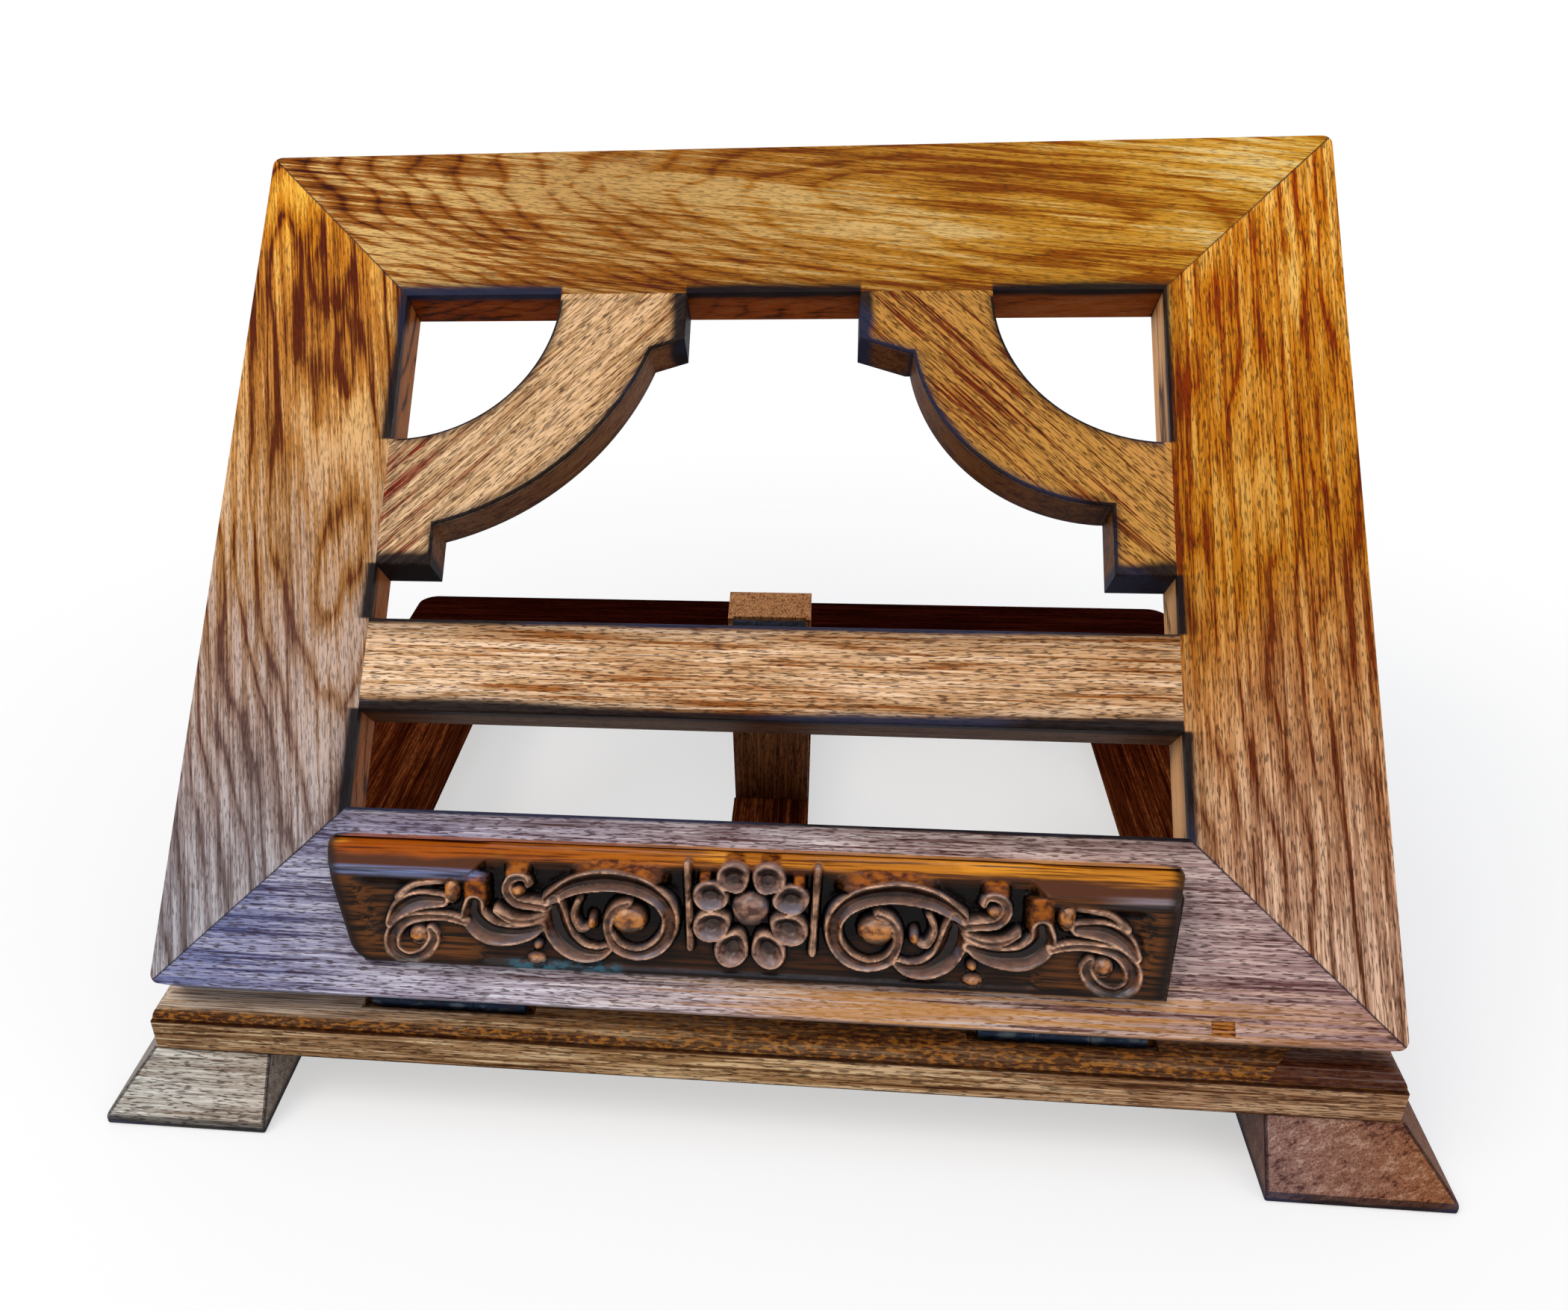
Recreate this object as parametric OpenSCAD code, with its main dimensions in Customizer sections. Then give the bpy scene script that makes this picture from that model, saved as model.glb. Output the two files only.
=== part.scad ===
// Table-top lectern: a mitred desk frame hinged on a low base with four spreading feet.
// Origin: on the table, under the middle of the base. +X is to the right of a reader, +Y away from them.

/* [Desk frame] */
// Width of the desk across the outside of its frame
desk_w = 340; // [310:5:380]
// Height of the desk, measured up its slope
desk_h = 274; // [256:2:300]
// Thickness of the desk's boards
desk_t = 16; // [14:0.5:20]
// Angle of the desk above the horizontal in its steepest setting
desk_tilt = 45; // [42:1:48]
// Width of each stile
stile_w = 52; // [46:1:58]
// Width of the top rail
top_rail_w = 53; // [46:1:58]
// Width of the bottom rail
bottom_rail_w = 53; // [50:1:58]
// Width of the cross rail
cross_rail_w = 28.7; // [24:0.1:34]
// Height of the gap between the bottom rail and the cross rail
lower_gap = 29.5; // [26:0.5:34]
// Rounding of the desk's outer corners
corner_r = 3; // [1:0.5:6]
// Length of the cross rail's stub tenons
tenon_l = 14; // [8:1:20]
// Thickness of the cross rail's stub tenons
tenon_t = 6; // [4:0.5:8]
// Shoulder left on each edge of a tenon
tenon_shoulder = 4; // [2:0.5:8]

/* [Mitre splines] */
// Length of a spline along its mitre
spline_l = 40; // [30:1:50]
// Width of a spline across its mitre
spline_w = 16; // [10:1:20]
// Thickness of a spline
spline_t = 3; // [2:0.5:5]

/* [Brackets] */
// Radius of the round hole in each upper corner of the window
hole_r = 50.5; // [44:0.5:54]
// Length of a bracket along the top rail
upper_toe_l = 91; // [84:1:96]
// Width of the end of a bracket's upper toe
upper_toe_w = 16; // [12:0.5:18]
// Length of the slant under the upper toe
toe_slant_l = 15; // [10:0.5:20]
// Drop of the slant under the upper toe
toe_slant_drop = 5; // [3:0.5:8]
// Length of a bracket down the stile
lower_toe_l = 92.5; // [86:0.5:98]
// Width of a bracket's lower toe
lower_toe_w = 17; // [14:0.5:20]
// Radius of the left bracket's outer curve
left_curve_r = 95.6; // [92:0.2:99]
// Centre of the left curve, beyond the window's side
left_curve_out = 9.5; // [6:0.5:13]
// Centre of the left curve, beyond the window's top
left_curve_up = 12.6; // [9:0.2:16]
// Depth down the stile at which the left curve ends
left_step = 80; // [74:1:84]
// Radius of the right bracket's outer curve
right_curve_r = 60.7; // [57:0.1:64]
// Centre of the right curve, in from the window's side
right_curve_in = 14.8; // [12:0.2:18]
// Centre of the right curve, down from the window's top
right_curve_down = 10.4; // [8:0.2:13]
// Depth down the stile at which the right curve ends
right_step = 71; // [68:0.5:76]
// Diameter of the dowels that hold the brackets
bracket_dowel_d = 6; // [4:0.5:8]
// Length of the dowels that hold the brackets
bracket_dowel_l = 20; // [14:1:26]
// Distance of a bracket's upper dowel from the window's corner
upper_dowel_at = 65; // [60:0.5:68]
// Distance of a bracket's lower dowel from the window's corner
lower_dowel_at = 70; // [62:0.5:78]

/* [Book ledge] */
// Width of the ledge at its back top edge
ledge_w = 236; // [210:2:250]
// Height of the ledge's bottom edge above the desk's lower edge
ledge_bottom = 9.5; // [6:0.5:12]
// Height of the ledge up the desk
ledge_h = 36; // [34:0.5:40]
// Height of the nose above the ledge's bottom edge
nose_h = 23.5; // [20:0.5:26]
// Reach of the nose in front of the desk
nose_reach = 18; // [15:0.5:22]
// Thickness of the ledge's bottom edge
ledge_foot_t = 3.5; // [3:0.5:5]
// Swell of the rounded top above a straight line from back to nose
top_swell = 2.6; // [1:0.1:3.5]
// Angle by which the ledge's right end leans in, seen from above and from the front
end_lean = 12; // [6:1:15]
// Extra reach of the ledge's left end at its back top edge
left_end_out = 4; // [2:0.5:6]
// Angle by which the left end leans in, seen from the front
left_end_lean = 18; // [12:1:20]
// Angle by which the left end leans in, seen from above
left_end_skew = 10; // [6:1:12]
// Depth of the carved ground at the top of the field
ground_top = 6; // [4:0.5:7]
// Depth of the carved ground at the bottom of the field
ground_foot = 1.5; // [1:0.5:2]
// Plain rim above the carved field
field_rim = 2; // [1.5:0.5:4]
// Plain rim at each end of the carved field
field_end = 9; // [7:0.5:14]
// Radius of the flower's boss
boss_r = 4.6; // [3:0.2:6]
// Radius of a petal
petal_r = 3.7; // [3:0.1:4.2]
// Room between the boss and the petals
petal_gap = 0.4; // [0.2:0.1:0.6]
// Number of petals
petals = 8; // [6:1:8]

/* [Edge plug] */
// Width of the square plug in the bottom rail
plug_w = 6; // [4:0.5:8]
// Height of the plug
plug_h = 4; // [3:0.5:6]
// Depth of the plug
plug_l = 10; // [6:1:12]
// Distance of the plug's middle from the desk's right side
plug_in = 45.6; // [42:0.2:50]
// Height of the plug's lower edge above the desk's lower edge
plug_up = 1.2; // [1:0.1:4]
// Depth of the plug's face below the rail's face
plug_sink = 0.4; // [0:0.1:1]

/* [Base] */
// Depth of the base from front to rear
base_depth = 281; // [274:1:300]
// Reach of the front board beyond the desk on each side
base_reach = 4.5; // [2:0.5:8]
// Thickness of the base's boards
board_t = 16; // [14:0.5:20]
// Depth of the front board
front_board_d = 51; // [44:1:58]
// Height of the plain fascia under the moulding
fascia_h = 11; // [8:0.5:11]
// Width and height of the small step under the moulding
quirk = 0.6; // [0.3:0.1:1]
// Width of each side rail
side_rail_w = 43.7; // [40:0.1:48]
// Distance of a side rail's outer face from the front board's end
side_rail_in = 6.5; // [4:0.5:8]
// Depth of the rear rail
rear_rail_d = 44; // [40:1:50]
// Rounding of the rear rail's outer corners
rear_corner_r = 8; // [4:0.5:10]
// Length of the repaired stretch of moulding at the board's right end
patch_l = 36.5; // [26:0.5:44]
// Length of the slanted joint at the repair's start
patch_scarf = 8; // [4:1:14]
// Depth of the repair behind the fascia
patch_d = 9; // [7:0.5:12]
// Diameter of the base's dowels
rail_dowel_d = 8; // [6:0.5:10]
// Length of the base's dowels
rail_dowel_l = 32; // [24:2:34]
// Distance between a side rail's two dowels
rail_dowel_pitch = 24; // [20:1:28]

/* [Feet] */
// Height of each foot
foot_h = 19; // [16:1:24]
// Side of a foot's square top
foot_top = 36; // [34:1:40]
// Spread of a foot's sloping faces
foot_spread = 13; // [8:1:18]
// Height of the upright edge round a foot's sole
foot_toe = 3; // [2:0.5:5]
// Distance of a foot's sloping top edge behind the base's front or rear
foot_inset = 0.5; // [0:0.1:2]
// Distance of a foot's inner face from the front board's end
foot_in = 34.5; // [32:0.5:38]

/* [Hinges] */
// Distance of each hinge's middle from the desk's side
hinge_in = 84; // [76:1:94]
// Length of a hinge
hinge_l = 45; // [38:1:54]
// Radius of a hinge's barrel
barrel_r = 2.4; // [2.2:0.1:3]
// Radius of a hinge's pin
pin_r = 1.2; // [1:0.1:1.4]
// Width of a hinge's leaf from the pin's axis
leaf_w = 16; // [14:1:20]
// Thickness of a hinge's leaf
leaf_t = 1.2; // [1:0.1:1.4]
// Distance of the pins' axis behind the front of the base
hinge_setback = 9.4; // [8.6:0.2:12]
// Gap between base and desk when the desk lies flat
hinge_gap = 0.6; // [0.4:0.1:1]
// Extra length of the recess at each end of a hinge
recess_end = 3; // [0.5:0.5:5]
// Reach of the recess in front of the pins' axis
recess_front = 4.2; // [3.2:0.2:4.4]

/* [Prop] */
// Distance of the prop and the rack to the right of the middle
prop_x = 2; // [0:0.5:4]
// Width of the prop leg
prop_w = 25.2; // [22:0.2:30]
// Thickness of the prop leg
prop_t = 12; // [10:0.5:12.5]
// Slope of the prop leg in the steepest setting
prop_lean = 71.4; // [70:0.2:74]
// Distance of the prop's pin above the cross rail
prop_pin_up = 5; // [4:0.5:7]
// Length of the leg beyond the pin
prop_head = 2; // [1:0.5:3]
// Depth of the foot's near edge below the top of the base
prop_foot_drop = 5; // [4:0.5:6]
// Bevel of the leg's foot against the horizontal
prop_foot_bevel = 8; // [4:1:12]
// Length of the prop's hinge
prop_hinge_l = 22; // [18:1:24]
// Radius of the prop hinge's barrel
prop_barrel_r = 2.3; // [2:0.1:2.6]
// Radius of the prop hinge's pin
prop_pin_r = 1; // [0.8:0.1:1.1]
// Width of the prop hinge's leaf from the pin's axis
prop_leaf_w = 19; // [17:1:22]
// Thickness of the prop hinge's leaf
prop_leaf_t = 0.8; // [0.6:0.1:1]

/* [Centre rack] */
// Width of the centre rack
rack_w = 26; // [24:1:32]
// Room in front of the prop's foot, to the step in the rack
rack_step_gap = 2.4; // [1.5:0.1:3.5]
// Extra room behind the prop's foot where its path ends
rack_run_out = 2; // [1.5:0.1:3]
// Number of notches
notches = 5; // [3:1:6]
// Change of the desk's angle from one notch to the next
notch_step = 5; // [4:0.5:6]
// Length of a notch
notch_l = 9; // [7:0.5:10]
// Depth of a notch
notch_d = 2.4; // [1.5:0.1:3]

/* [Screws] */
// Diameter of the wood screws under the feet and behind the ledge
screw_d = 4; // [3.5:0.1:4.5]
// Diameter of their heads
screw_head_d = 8; // [7:0.5:9]
// Distance of a foot's first screw from its inner faces
foot_screw_near = 12; // [10:0.5:13]
// Distance of a foot's second screw from its inner faces
foot_screw_far = 23; // [21:0.5:25]
// Length of the screws under the feet
foot_screw_l = 26; // [22:1:28]
// Depth of the foot screws' heads above the sole
foot_screw_sink = 5; // [4:0.5:8]
// Length of the screws behind the ledge
ledge_screw_l = 22; // [20:1:23]
// Distance between the ledge's screws
ledge_screw_pitch = 80; // [60:5:90]
// Diameter of the hinge screws
hinge_screw_d = 2.6; // [2.4:0.1:3]
// Diameter of the hinge screws' heads
hinge_screw_head_d = 5; // [4.5:0.1:5.5]
// Length of the hinge screws
hinge_screw_l = 10; // [8:0.5:11]
// Distance of a leaf's screws from its free edge
leaf_screw_in = 6; // [4.5:0.5:8]
// Distance between a leaf's screws on the desk's hinges
hinge_screw_pitch = 28; // [24:1:32]
// Distance between a leaf's screws on the prop's hinge
prop_screw_pitch = 13; // [10:0.5:14]

/* [Clearances] */
// Room round a glued tenon, spline, dowel or screw
joint_gap = 0.1; // [0.05:0.05:0.2]
// Room round a hinge pin in its barrel
pin_gap = 0.05; // [0.02:0.01:0.1]
// Room between neighbouring barrels
barrel_gap = 0.2; // [0.1:0.1:0.5]
// Room round a barrel
barrel_room = 0.4; // [0.3:0.1:0.6]
// Room under the prop's foot along its path
foot_gap = 0.5; // [0.4:0.1:0.8]

/* [Hidden] */
$fn = 64;
// Margin by which a cut runs past the face that it opens
over = 1;
half_w = desk_w / 2;
window_x = half_w - stile_w;
window_top = desk_h - top_rail_w;
cross_low = bottom_rail_w + lower_gap;
cross_high = cross_low + cross_rail_w;

base_top = foot_h + board_t;
base_front = -base_depth / 2;
base_x = half_w + base_reach;
rail_outer_x = base_x - side_rail_in;
rail_mid_x = rail_outer_x - side_rail_w / 2;
front_joint_y = base_front + front_board_d;
rear_joint_y = base_depth / 2 - rear_rail_d;
ovolo_r = board_t - fascia_h - quirk;

hinge_x = half_w - hinge_in;
plug_x = half_w - plug_in;
patch_x = base_x - patch_l;
axis_y = base_front + hinge_setback;
axis_z = base_top + hinge_gap / 2;

ledge_top = ledge_bottom + ledge_h;
nose_v = ledge_bottom + nose_h;
ledge_screw_v = nose_v - ledge_foot_t;
face_lean = atan2(nose_reach - ledge_foot_t, nose_h);
face_h = norm([nose_reach - ledge_foot_t, nose_h]);
// The rounded top is an arc over the chord from the ledge's back top edge to its nose
top_chord = norm([nose_reach, ledge_top - nose_v]);
top_arc_r = (top_chord * top_chord / 4 + top_swell * top_swell) / (2 * top_swell);
chord_lean = atan2(ledge_top - nose_v, nose_reach);
field_x = ledge_w / 2 - field_end;

foot_x = base_x - foot_in;
foot_size = foot_top + foot_spread;
foot_y = base_depth / 2 - foot_inset - foot_top;

screw_head_h = (screw_head_d - screw_d) / 2;
hinge_screw_head_h = (hinge_screw_head_d - hinge_screw_d) / 2;

// The prop's pin lies behind the desk, so that its leaves are flush with the back faces
prop_leaf_off = prop_barrel_r - prop_leaf_t;
prop_room_l = prop_hinge_l + 2 * joint_gap;
prop_pin_v = cross_high + prop_pin_up;
prop_pin_n = hinge_gap / 2 - prop_leaf_off;
prop_foot_z = base_top - prop_foot_drop;

// Place in the side view [y, z] of a point of the desk, v up its slope and n in front of the pins' axis,
// with the desk raised by the angle a
function desk_point(a, v, n) = [
    axis_y + v * cos(a) - n * sin(a),
    axis_z + v * sin(a) + n * cos(a)
];
// Direction of the leg with the desk raised by a: it folds flat into the window as the desk comes down
function leg_turn(a) = -prop_lean * a / desk_tilt;
leg_near_l = (desk_point(desk_tilt, prop_pin_v, prop_pin_n)[1]
    + prop_leaf_off * cos(prop_lean) - prop_foot_z) / sin(prop_lean);
leg_far_l = leg_near_l + prop_t / tan(prop_lean - prop_foot_bevel);
// Path of the foot's near edge
function foot_edge(a) = desk_point(a, prop_pin_v, prop_pin_n)
    + leg_near_l * [cos(leg_turn(a)), sin(leg_turn(a))]
    + prop_leaf_off * [-sin(leg_turn(a)), cos(leg_turn(a))];
rack_step_y = foot_edge(desk_tilt)[0] - rack_step_gap;

// Frames

// The desk's own frame: x across, y up the slope from its lower edge, z out of its back face
module at_desk() {
    translate([0, axis_y, axis_z])
        rotate([desk_tilt, 0, 0])
            translate([0, 0, hinge_gap / 2])
                children();
}

// A leaf's frame: x along the pin, y along the leaf, z from the pin's axis into the wood
module at_base_leaf(side) {
    translate([side * hinge_x, axis_y, axis_z])
        mirror([0, 0, 1])
            children();
}

module at_desk_leaf(side) {
    translate([side * hinge_x, axis_y, axis_z])
        rotate([desk_tilt, 0, 0])
            children();
}

module at_prop_pin() {
    at_desk()
        translate([prop_x, prop_pin_v, -prop_leaf_off])
            children();
}

module at_prop_desk_leaf() {
    at_prop_pin()
        mirror([0, 1, 0])
            children();
}

module at_leg() {
    at_prop_pin()
        rotate([-(desk_tilt + prop_lean), 0, 0])
            children();
}

// The ledge's sloping front: x across, y up the face from its lower edge, z out of the face
module at_ledge_face() {
    translate([0, ledge_bottom, desk_t + ledge_foot_t])
        rotate([face_lean, 0, 0])
            children();
}

// Shared pieces

module rod_x(r, l) {
    rotate([0, 90, 0])
        cylinder(r = r, h = l, center = true);
}

module rod_y(r, l) {
    rotate([90, 0, 0])
        cylinder(r = r, h = l, center = true);
}

// A countersunk screw with its head's face at the origin, pointing along +z
module screw(d, head_d, head_h, l) {
    difference() {
        rotate_extrude()
            polygon([[0, 0], [head_d / 2, 0], [d / 2, head_h], [d / 2, l - d / 2], [0, l]]);
        cube([head_d, d / 4, head_h], center = true);
    }
}

// The hole that a screw leaves in the wood or the leaf round it
module screw_hole(d, head_d, head_h, l) {
    rotate_extrude()
        polygon([
            [0, -over],
            [head_d / 2 + joint_gap, -over],
            [head_d / 2 + joint_gap, 0],
            [d / 2 + joint_gap, head_h],
            [d / 2 + joint_gap, l + joint_gap],
            [0, l + joint_gap]
        ]);
}

// A hinge leaf: off is the distance of its plate from the pin's axis
module hinge_leaf(outer, l, w, t, off, r, pin) {
    barrel_l = (l - 2 * barrel_gap) / 3;
    barrel_pitch = barrel_l + barrel_gap;
    difference() {
        union() {
            difference() {
                translate([-l / 2, 0, off])
                    cube([l, w, t]);
                for (x = outer ? [0] : [-barrel_pitch, barrel_pitch])
                    translate([x, 0, 0])
                        rod_x(r + barrel_room, barrel_l + 2 * barrel_gap);
            }
            for (x = outer ? [-barrel_pitch, barrel_pitch] : [0])
                translate([x, 0, 0])
                    rod_x(r, barrel_l);
        }
        rod_x(pin + pin_gap, l + 2 * over);
    }
}

// The recess that a leaf and its barrels need in the wood
module leaf_recess(l, w, t, off, r) {
    translate([-l / 2, -over, off - over])
        cube([l, w + over + joint_gap, t + over]);
    rod_x(r + barrel_room, l);
}

module prop_leaf_recess() {
    leaf_recess(prop_room_l, prop_leaf_w, prop_leaf_t, prop_leaf_off, prop_barrel_r);
}

module pair_of_screws(pitch, w, off) {
    for (x = [-pitch / 2, pitch / 2])
        translate([x, w - leaf_screw_in, off])
            screw(hinge_screw_d, hinge_screw_head_d, hinge_screw_head_h, hinge_screw_l);
}

module pair_of_screw_holes(pitch, w, off) {
    for (x = [-pitch / 2, pitch / 2])
        translate([x, w - leaf_screw_in, off])
            screw_hole(hinge_screw_d, hinge_screw_head_d, hinge_screw_head_h, hinge_screw_l);
}

// Desk frame

module desk_outline() {
    translate([-half_w, corner_r])
        square([desk_w, desk_h - 2 * corner_r]);
    translate([-half_w + corner_r, 0])
        square([desk_w - 2 * corner_r, desk_h]);
    for (x = [-half_w + corner_r, half_w - corner_r], y = [corner_r, desk_h - corner_r])
        translate([x, y])
            circle(corner_r);
}

module desk_board(points) {
    linear_extrude(desk_t)
        intersection() {
            desk_outline();
            polygon(points);
        }
}

function outer_v(top) = top ? desk_h : 0;
function inner_v(top) = top ? window_top : bottom_rail_w;

module splines(gap) {
    for (side = [-1, 1], top = [false, true])
        translate([side * (half_w + window_x) / 2, (outer_v(top) + inner_v(top)) / 2, desk_t / 2])
            rotate([0, 0, atan2(inner_v(top) - outer_v(top), -side * stile_w)])
                cube([spline_l + 2 * gap, spline_w + 2 * gap, spline_t + 2 * gap], center = true);
}

module tenons(gap) {
    for (side = [-1, 1])
        translate([side * window_x, cross_low + cross_rail_w / 2, desk_t / 2])
            cube([
                2 * (tenon_l + gap),
                cross_rail_w - 2 * tenon_shoulder + 2 * gap,
                tenon_t + 2 * gap
            ], center = true);
}

module bracket_dowel_set(gap) {
    for (side = [-1, 1]) {
        translate([side * (window_x - upper_dowel_at), window_top, desk_t / 2])
            rod_y(bracket_dowel_d / 2 + gap, bracket_dowel_l + 2 * gap);
        translate([side * window_x, window_top - lower_dowel_at, desk_t / 2])
            rod_x(bracket_dowel_d / 2 + gap, bracket_dowel_l + 2 * gap);
    }
}

module ledge_screw_places() {
    for (x = [-ledge_screw_pitch, 0, ledge_screw_pitch])
        translate([x, ledge_screw_v, 0])
            children();
}

module ledge_screw_holes() {
    ledge_screw_places()
        screw_hole(screw_d, screw_head_d, screw_head_h, ledge_screw_l);
}

module plug_solid(gap, sink) {
    translate([plug_x - plug_w / 2 - gap, plug_up - gap, desk_t - plug_l])
        cube([plug_w + 2 * gap, plug_h + 2 * gap, plug_l - sink]);
}

module top_rail() {
    color("#b07a35")
        at_desk()
            difference() {
                desk_board([
                    [-half_w, desk_h], [half_w, desk_h],
                    [window_x, window_top], [-window_x, window_top]
                ]);
                splines(joint_gap);
                bracket_dowel_set(joint_gap);
            }
}

module stile(side) {
    difference() {
        desk_board([
            [side * half_w, 0], [side * window_x, bottom_rail_w],
            [side * window_x, window_top], [side * half_w, desk_h]
        ]);
        splines(joint_gap);
        tenons(joint_gap);
        bracket_dowel_set(joint_gap);
    }
}

module left_stile() {
    color("#95602f")
        at_desk()
            stile(-1);
}

module right_stile() {
    color("#a8682c")
        at_desk()
            stile(1);
}

module bottom_rail() {
    color("#86614c")
        difference() {
            at_desk()
                difference() {
                    desk_board([
                        [-half_w, 0], [half_w, 0],
                        [window_x, bottom_rail_w], [-window_x, bottom_rail_w]
                    ]);
                    splines(joint_gap);
                    ledge_screw_holes();
                    plug_solid(0, -over);
                }
            for (side = [-1, 1])
                at_desk_leaf(side) {
                    leaf_recess(hinge_l + 2 * recess_end, leaf_w, leaf_t, hinge_gap / 2, barrel_r);
                    pair_of_screw_holes(hinge_screw_pitch, leaf_w, hinge_gap / 2);
                }
        }
}

module cross_rail() {
    color("#a87a50")
        difference() {
            at_desk() {
                translate([-window_x, cross_low, 0])
                    cube([2 * window_x, cross_rail_w, desk_t]);
                intersection() {
                    tenons(0);
                    translate([-half_w, 0, 0])
                        cube([desk_w, desk_h, desk_t]);
                }
            }
            at_prop_desk_leaf() {
                prop_leaf_recess();
                pair_of_screw_holes(prop_screw_pitch, prop_leaf_w, prop_leaf_off);
            }
        }
}

module mitre_splines() {
    color("#8a5a32")
        at_desk()
            splines(0);
}

module bracket_dowels() {
    color("#c19a62")
        at_desk()
            bracket_dowel_set(0);
}

module edge_plug() {
    color("#b8702c")
        at_desk()
            plug_solid(0, plug_sink);
}

// Brackets, drawn from the window's upper corner: x along the top rail, y down the stile

module bracket_outline(curve_x, curve_y, curve_r, step) {
    difference() {
        union() {
            polygon([
                [0, 0], [upper_toe_l, 0], [upper_toe_l, upper_toe_w],
                [upper_toe_l - toe_slant_l, upper_toe_w + toe_slant_drop],
                [0, upper_toe_w + toe_slant_drop]
            ]);
            square([lower_toe_w, lower_toe_l]);
            intersection() {
                translate([curve_x, curve_y])
                    circle(curve_r, $fn = 128);
                square([upper_toe_l, step]);
            }
        }
        circle(hole_r, $fn = 128);
    }
}

module left_bracket() {
    color("#a9733c")
        at_desk()
            difference() {
                translate([-window_x, window_top, 0])
                    linear_extrude(desk_t)
                        mirror([0, 1])
                            bracket_outline(-left_curve_out, -left_curve_up, left_curve_r, left_step);
                bracket_dowel_set(joint_gap);
            }
}

module right_bracket() {
    color("#a9733c")
        at_desk()
            difference() {
                translate([window_x, window_top, 0])
                    linear_extrude(desk_t)
                        rotate(180)
                            bracket_outline(right_curve_in, right_curve_down, right_curve_r, right_step);
                bracket_dowel_set(joint_gap);
            }
}

// Book ledge

// Section of the ledge: x in front of the desk, y up the desk
module ledge_section() {
    intersection() {
        polygon([
            [0, ledge_bottom], [ledge_foot_t, ledge_bottom], [nose_reach, nose_v],
            [nose_reach, ledge_top], [0, ledge_top]
        ]);
        translate([nose_reach / 2, (ledge_top + nose_v) / 2])
            rotate(-chord_lean)
                translate([0, top_swell - top_arc_r])
                    circle(top_arc_r, $fn = 128);
    }
}

// What is cut away at one end of the ledge: lean seen from the front, skew seen from above
module ledge_end(side, reach, lean, skew) {
    translate([side * reach, ledge_top, desk_t])
        mirror([side < 0 ? 1 : 0, 0, 0])
            rotate([0, -skew, -lean])
                translate([0, -ledge_w / 2, -ledge_w / 2])
                    cube(ledge_w);
}

module ledge_blank() {
    left_reach = ledge_w / 2 + left_end_out;
    difference() {
        // The section's x turned out of the desk and its y up the desk, drawn out to the right
        translate([-left_reach, 0, desk_t])
            rotate([90, 0, 90])
                mirror([1, 0, 0])
                    rotate([0, 0, 90])
                        linear_extrude(left_reach + ledge_w / 2)
                            ledge_section();
        ledge_end(-1, left_reach, left_end_lean, left_end_skew);
        ledge_end(1, ledge_w / 2, end_lean, end_lean);
    }
}

// Scrolls of the right half of the field, each [across, up, outer radius, inner radius]
scrolls = [
    [29, 12.5, 11, 7.6],
    [27.5, 11, 4.4, 0],
    [44, 10.5, 9.6, 6.6],
    [46, 8.5, 3.2, 0],
    [41, 21.5, 3.6, 1.2],
    [62, 15.5, 8.4, 5.2],
    [58, 21, 3.8, 1.2],
    [76, 8.4, 7.8, 4.8],
    [94, 10, 8.2, 4.8],
    [95, 7, 2.6, 0]
];
flower_up = 15;

module carving_outline() {
    translate([0, flower_up]) {
        circle(boss_r);
        for (i = [0 : petals - 1])
            rotate(i * 360 / petals)
                translate([boss_r + petal_gap + petal_r, 0])
                    circle(petal_r);
    }
    for (side = [-1, 1], s = scrolls)
        translate([side * s[0], s[1]])
            difference() {
                circle(s[2]);
                if (s[3] > 0)
                    circle(s[3]);
            }
}

// The sunk ground of the carved field, without what is left standing in it
module carved_field() {
    difference() {
        translate([-field_x, 0, 0])
            rotate([90, 0, 90])
                linear_extrude(2 * field_x)
                    polygon([
                        [-over, over], [-over, -ground_foot], [0, -ground_foot],
                        [face_h - field_rim, -ground_top], [face_h - field_rim, over]
                    ]);
        translate([0, 0, -2 * ground_top])
            linear_extrude(2 * ground_top + 2 * over)
                carving_outline();
    }
}

module book_ledge() {
    color("#7a4319")
        at_desk()
            difference() {
                ledge_blank();
                at_ledge_face()
                    carved_field();
                ledge_screw_holes();
            }
}

module ledge_screws() {
    color("#8c8577")
        at_desk()
            ledge_screw_places()
                screw(screw_d, screw_head_d, screw_head_h, ledge_screw_l);
}

// Base

// Half-width or front edge of the moulded board: the outline of its edge, x inward from the face, y up
module moulded_edge() {
    square([ovolo_r + quirk, fascia_h]);
    translate([quirk, 0])
        square([ovolo_r, fascia_h + quirk]);
    translate([quirk + ovolo_r, fascia_h + quirk])
        intersection() {
            circle(ovolo_r);
            translate([-ovolo_r, 0])
                square(ovolo_r);
        }
}

// Board of width w with moulded edges on both sides, seen from the end, centred on x
module moulded_board_section(w) {
    flat_w = w - 2 * (quirk + ovolo_r);
    translate([-flat_w / 2, 0])
        square([flat_w, board_t]);
    for (side = [0, 1])
        mirror([side, 0])
            translate([-w / 2, 0])
                moulded_edge();
}

module front_board_blank() {
    intersection() {
        translate([0, front_joint_y, foot_h])
            rotate([90, 0, 0])
                linear_extrude(front_board_d)
                    moulded_board_section(2 * base_x);
        translate([-base_x, base_front + front_board_d, foot_h])
            rotate([90, 0, 90])
                linear_extrude(2 * base_x)
                    moulded_board_section(2 * front_board_d);
    }
}

module patch_space() {
    translate([0, 0, foot_h + fascia_h + quirk])
        linear_extrude(board_t)
            polygon([
                [patch_x, base_front - over], [patch_x + patch_scarf, base_front + patch_d],
                [base_x + over, base_front + patch_d], [base_x + over, base_front - over]
            ]);
}

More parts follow.
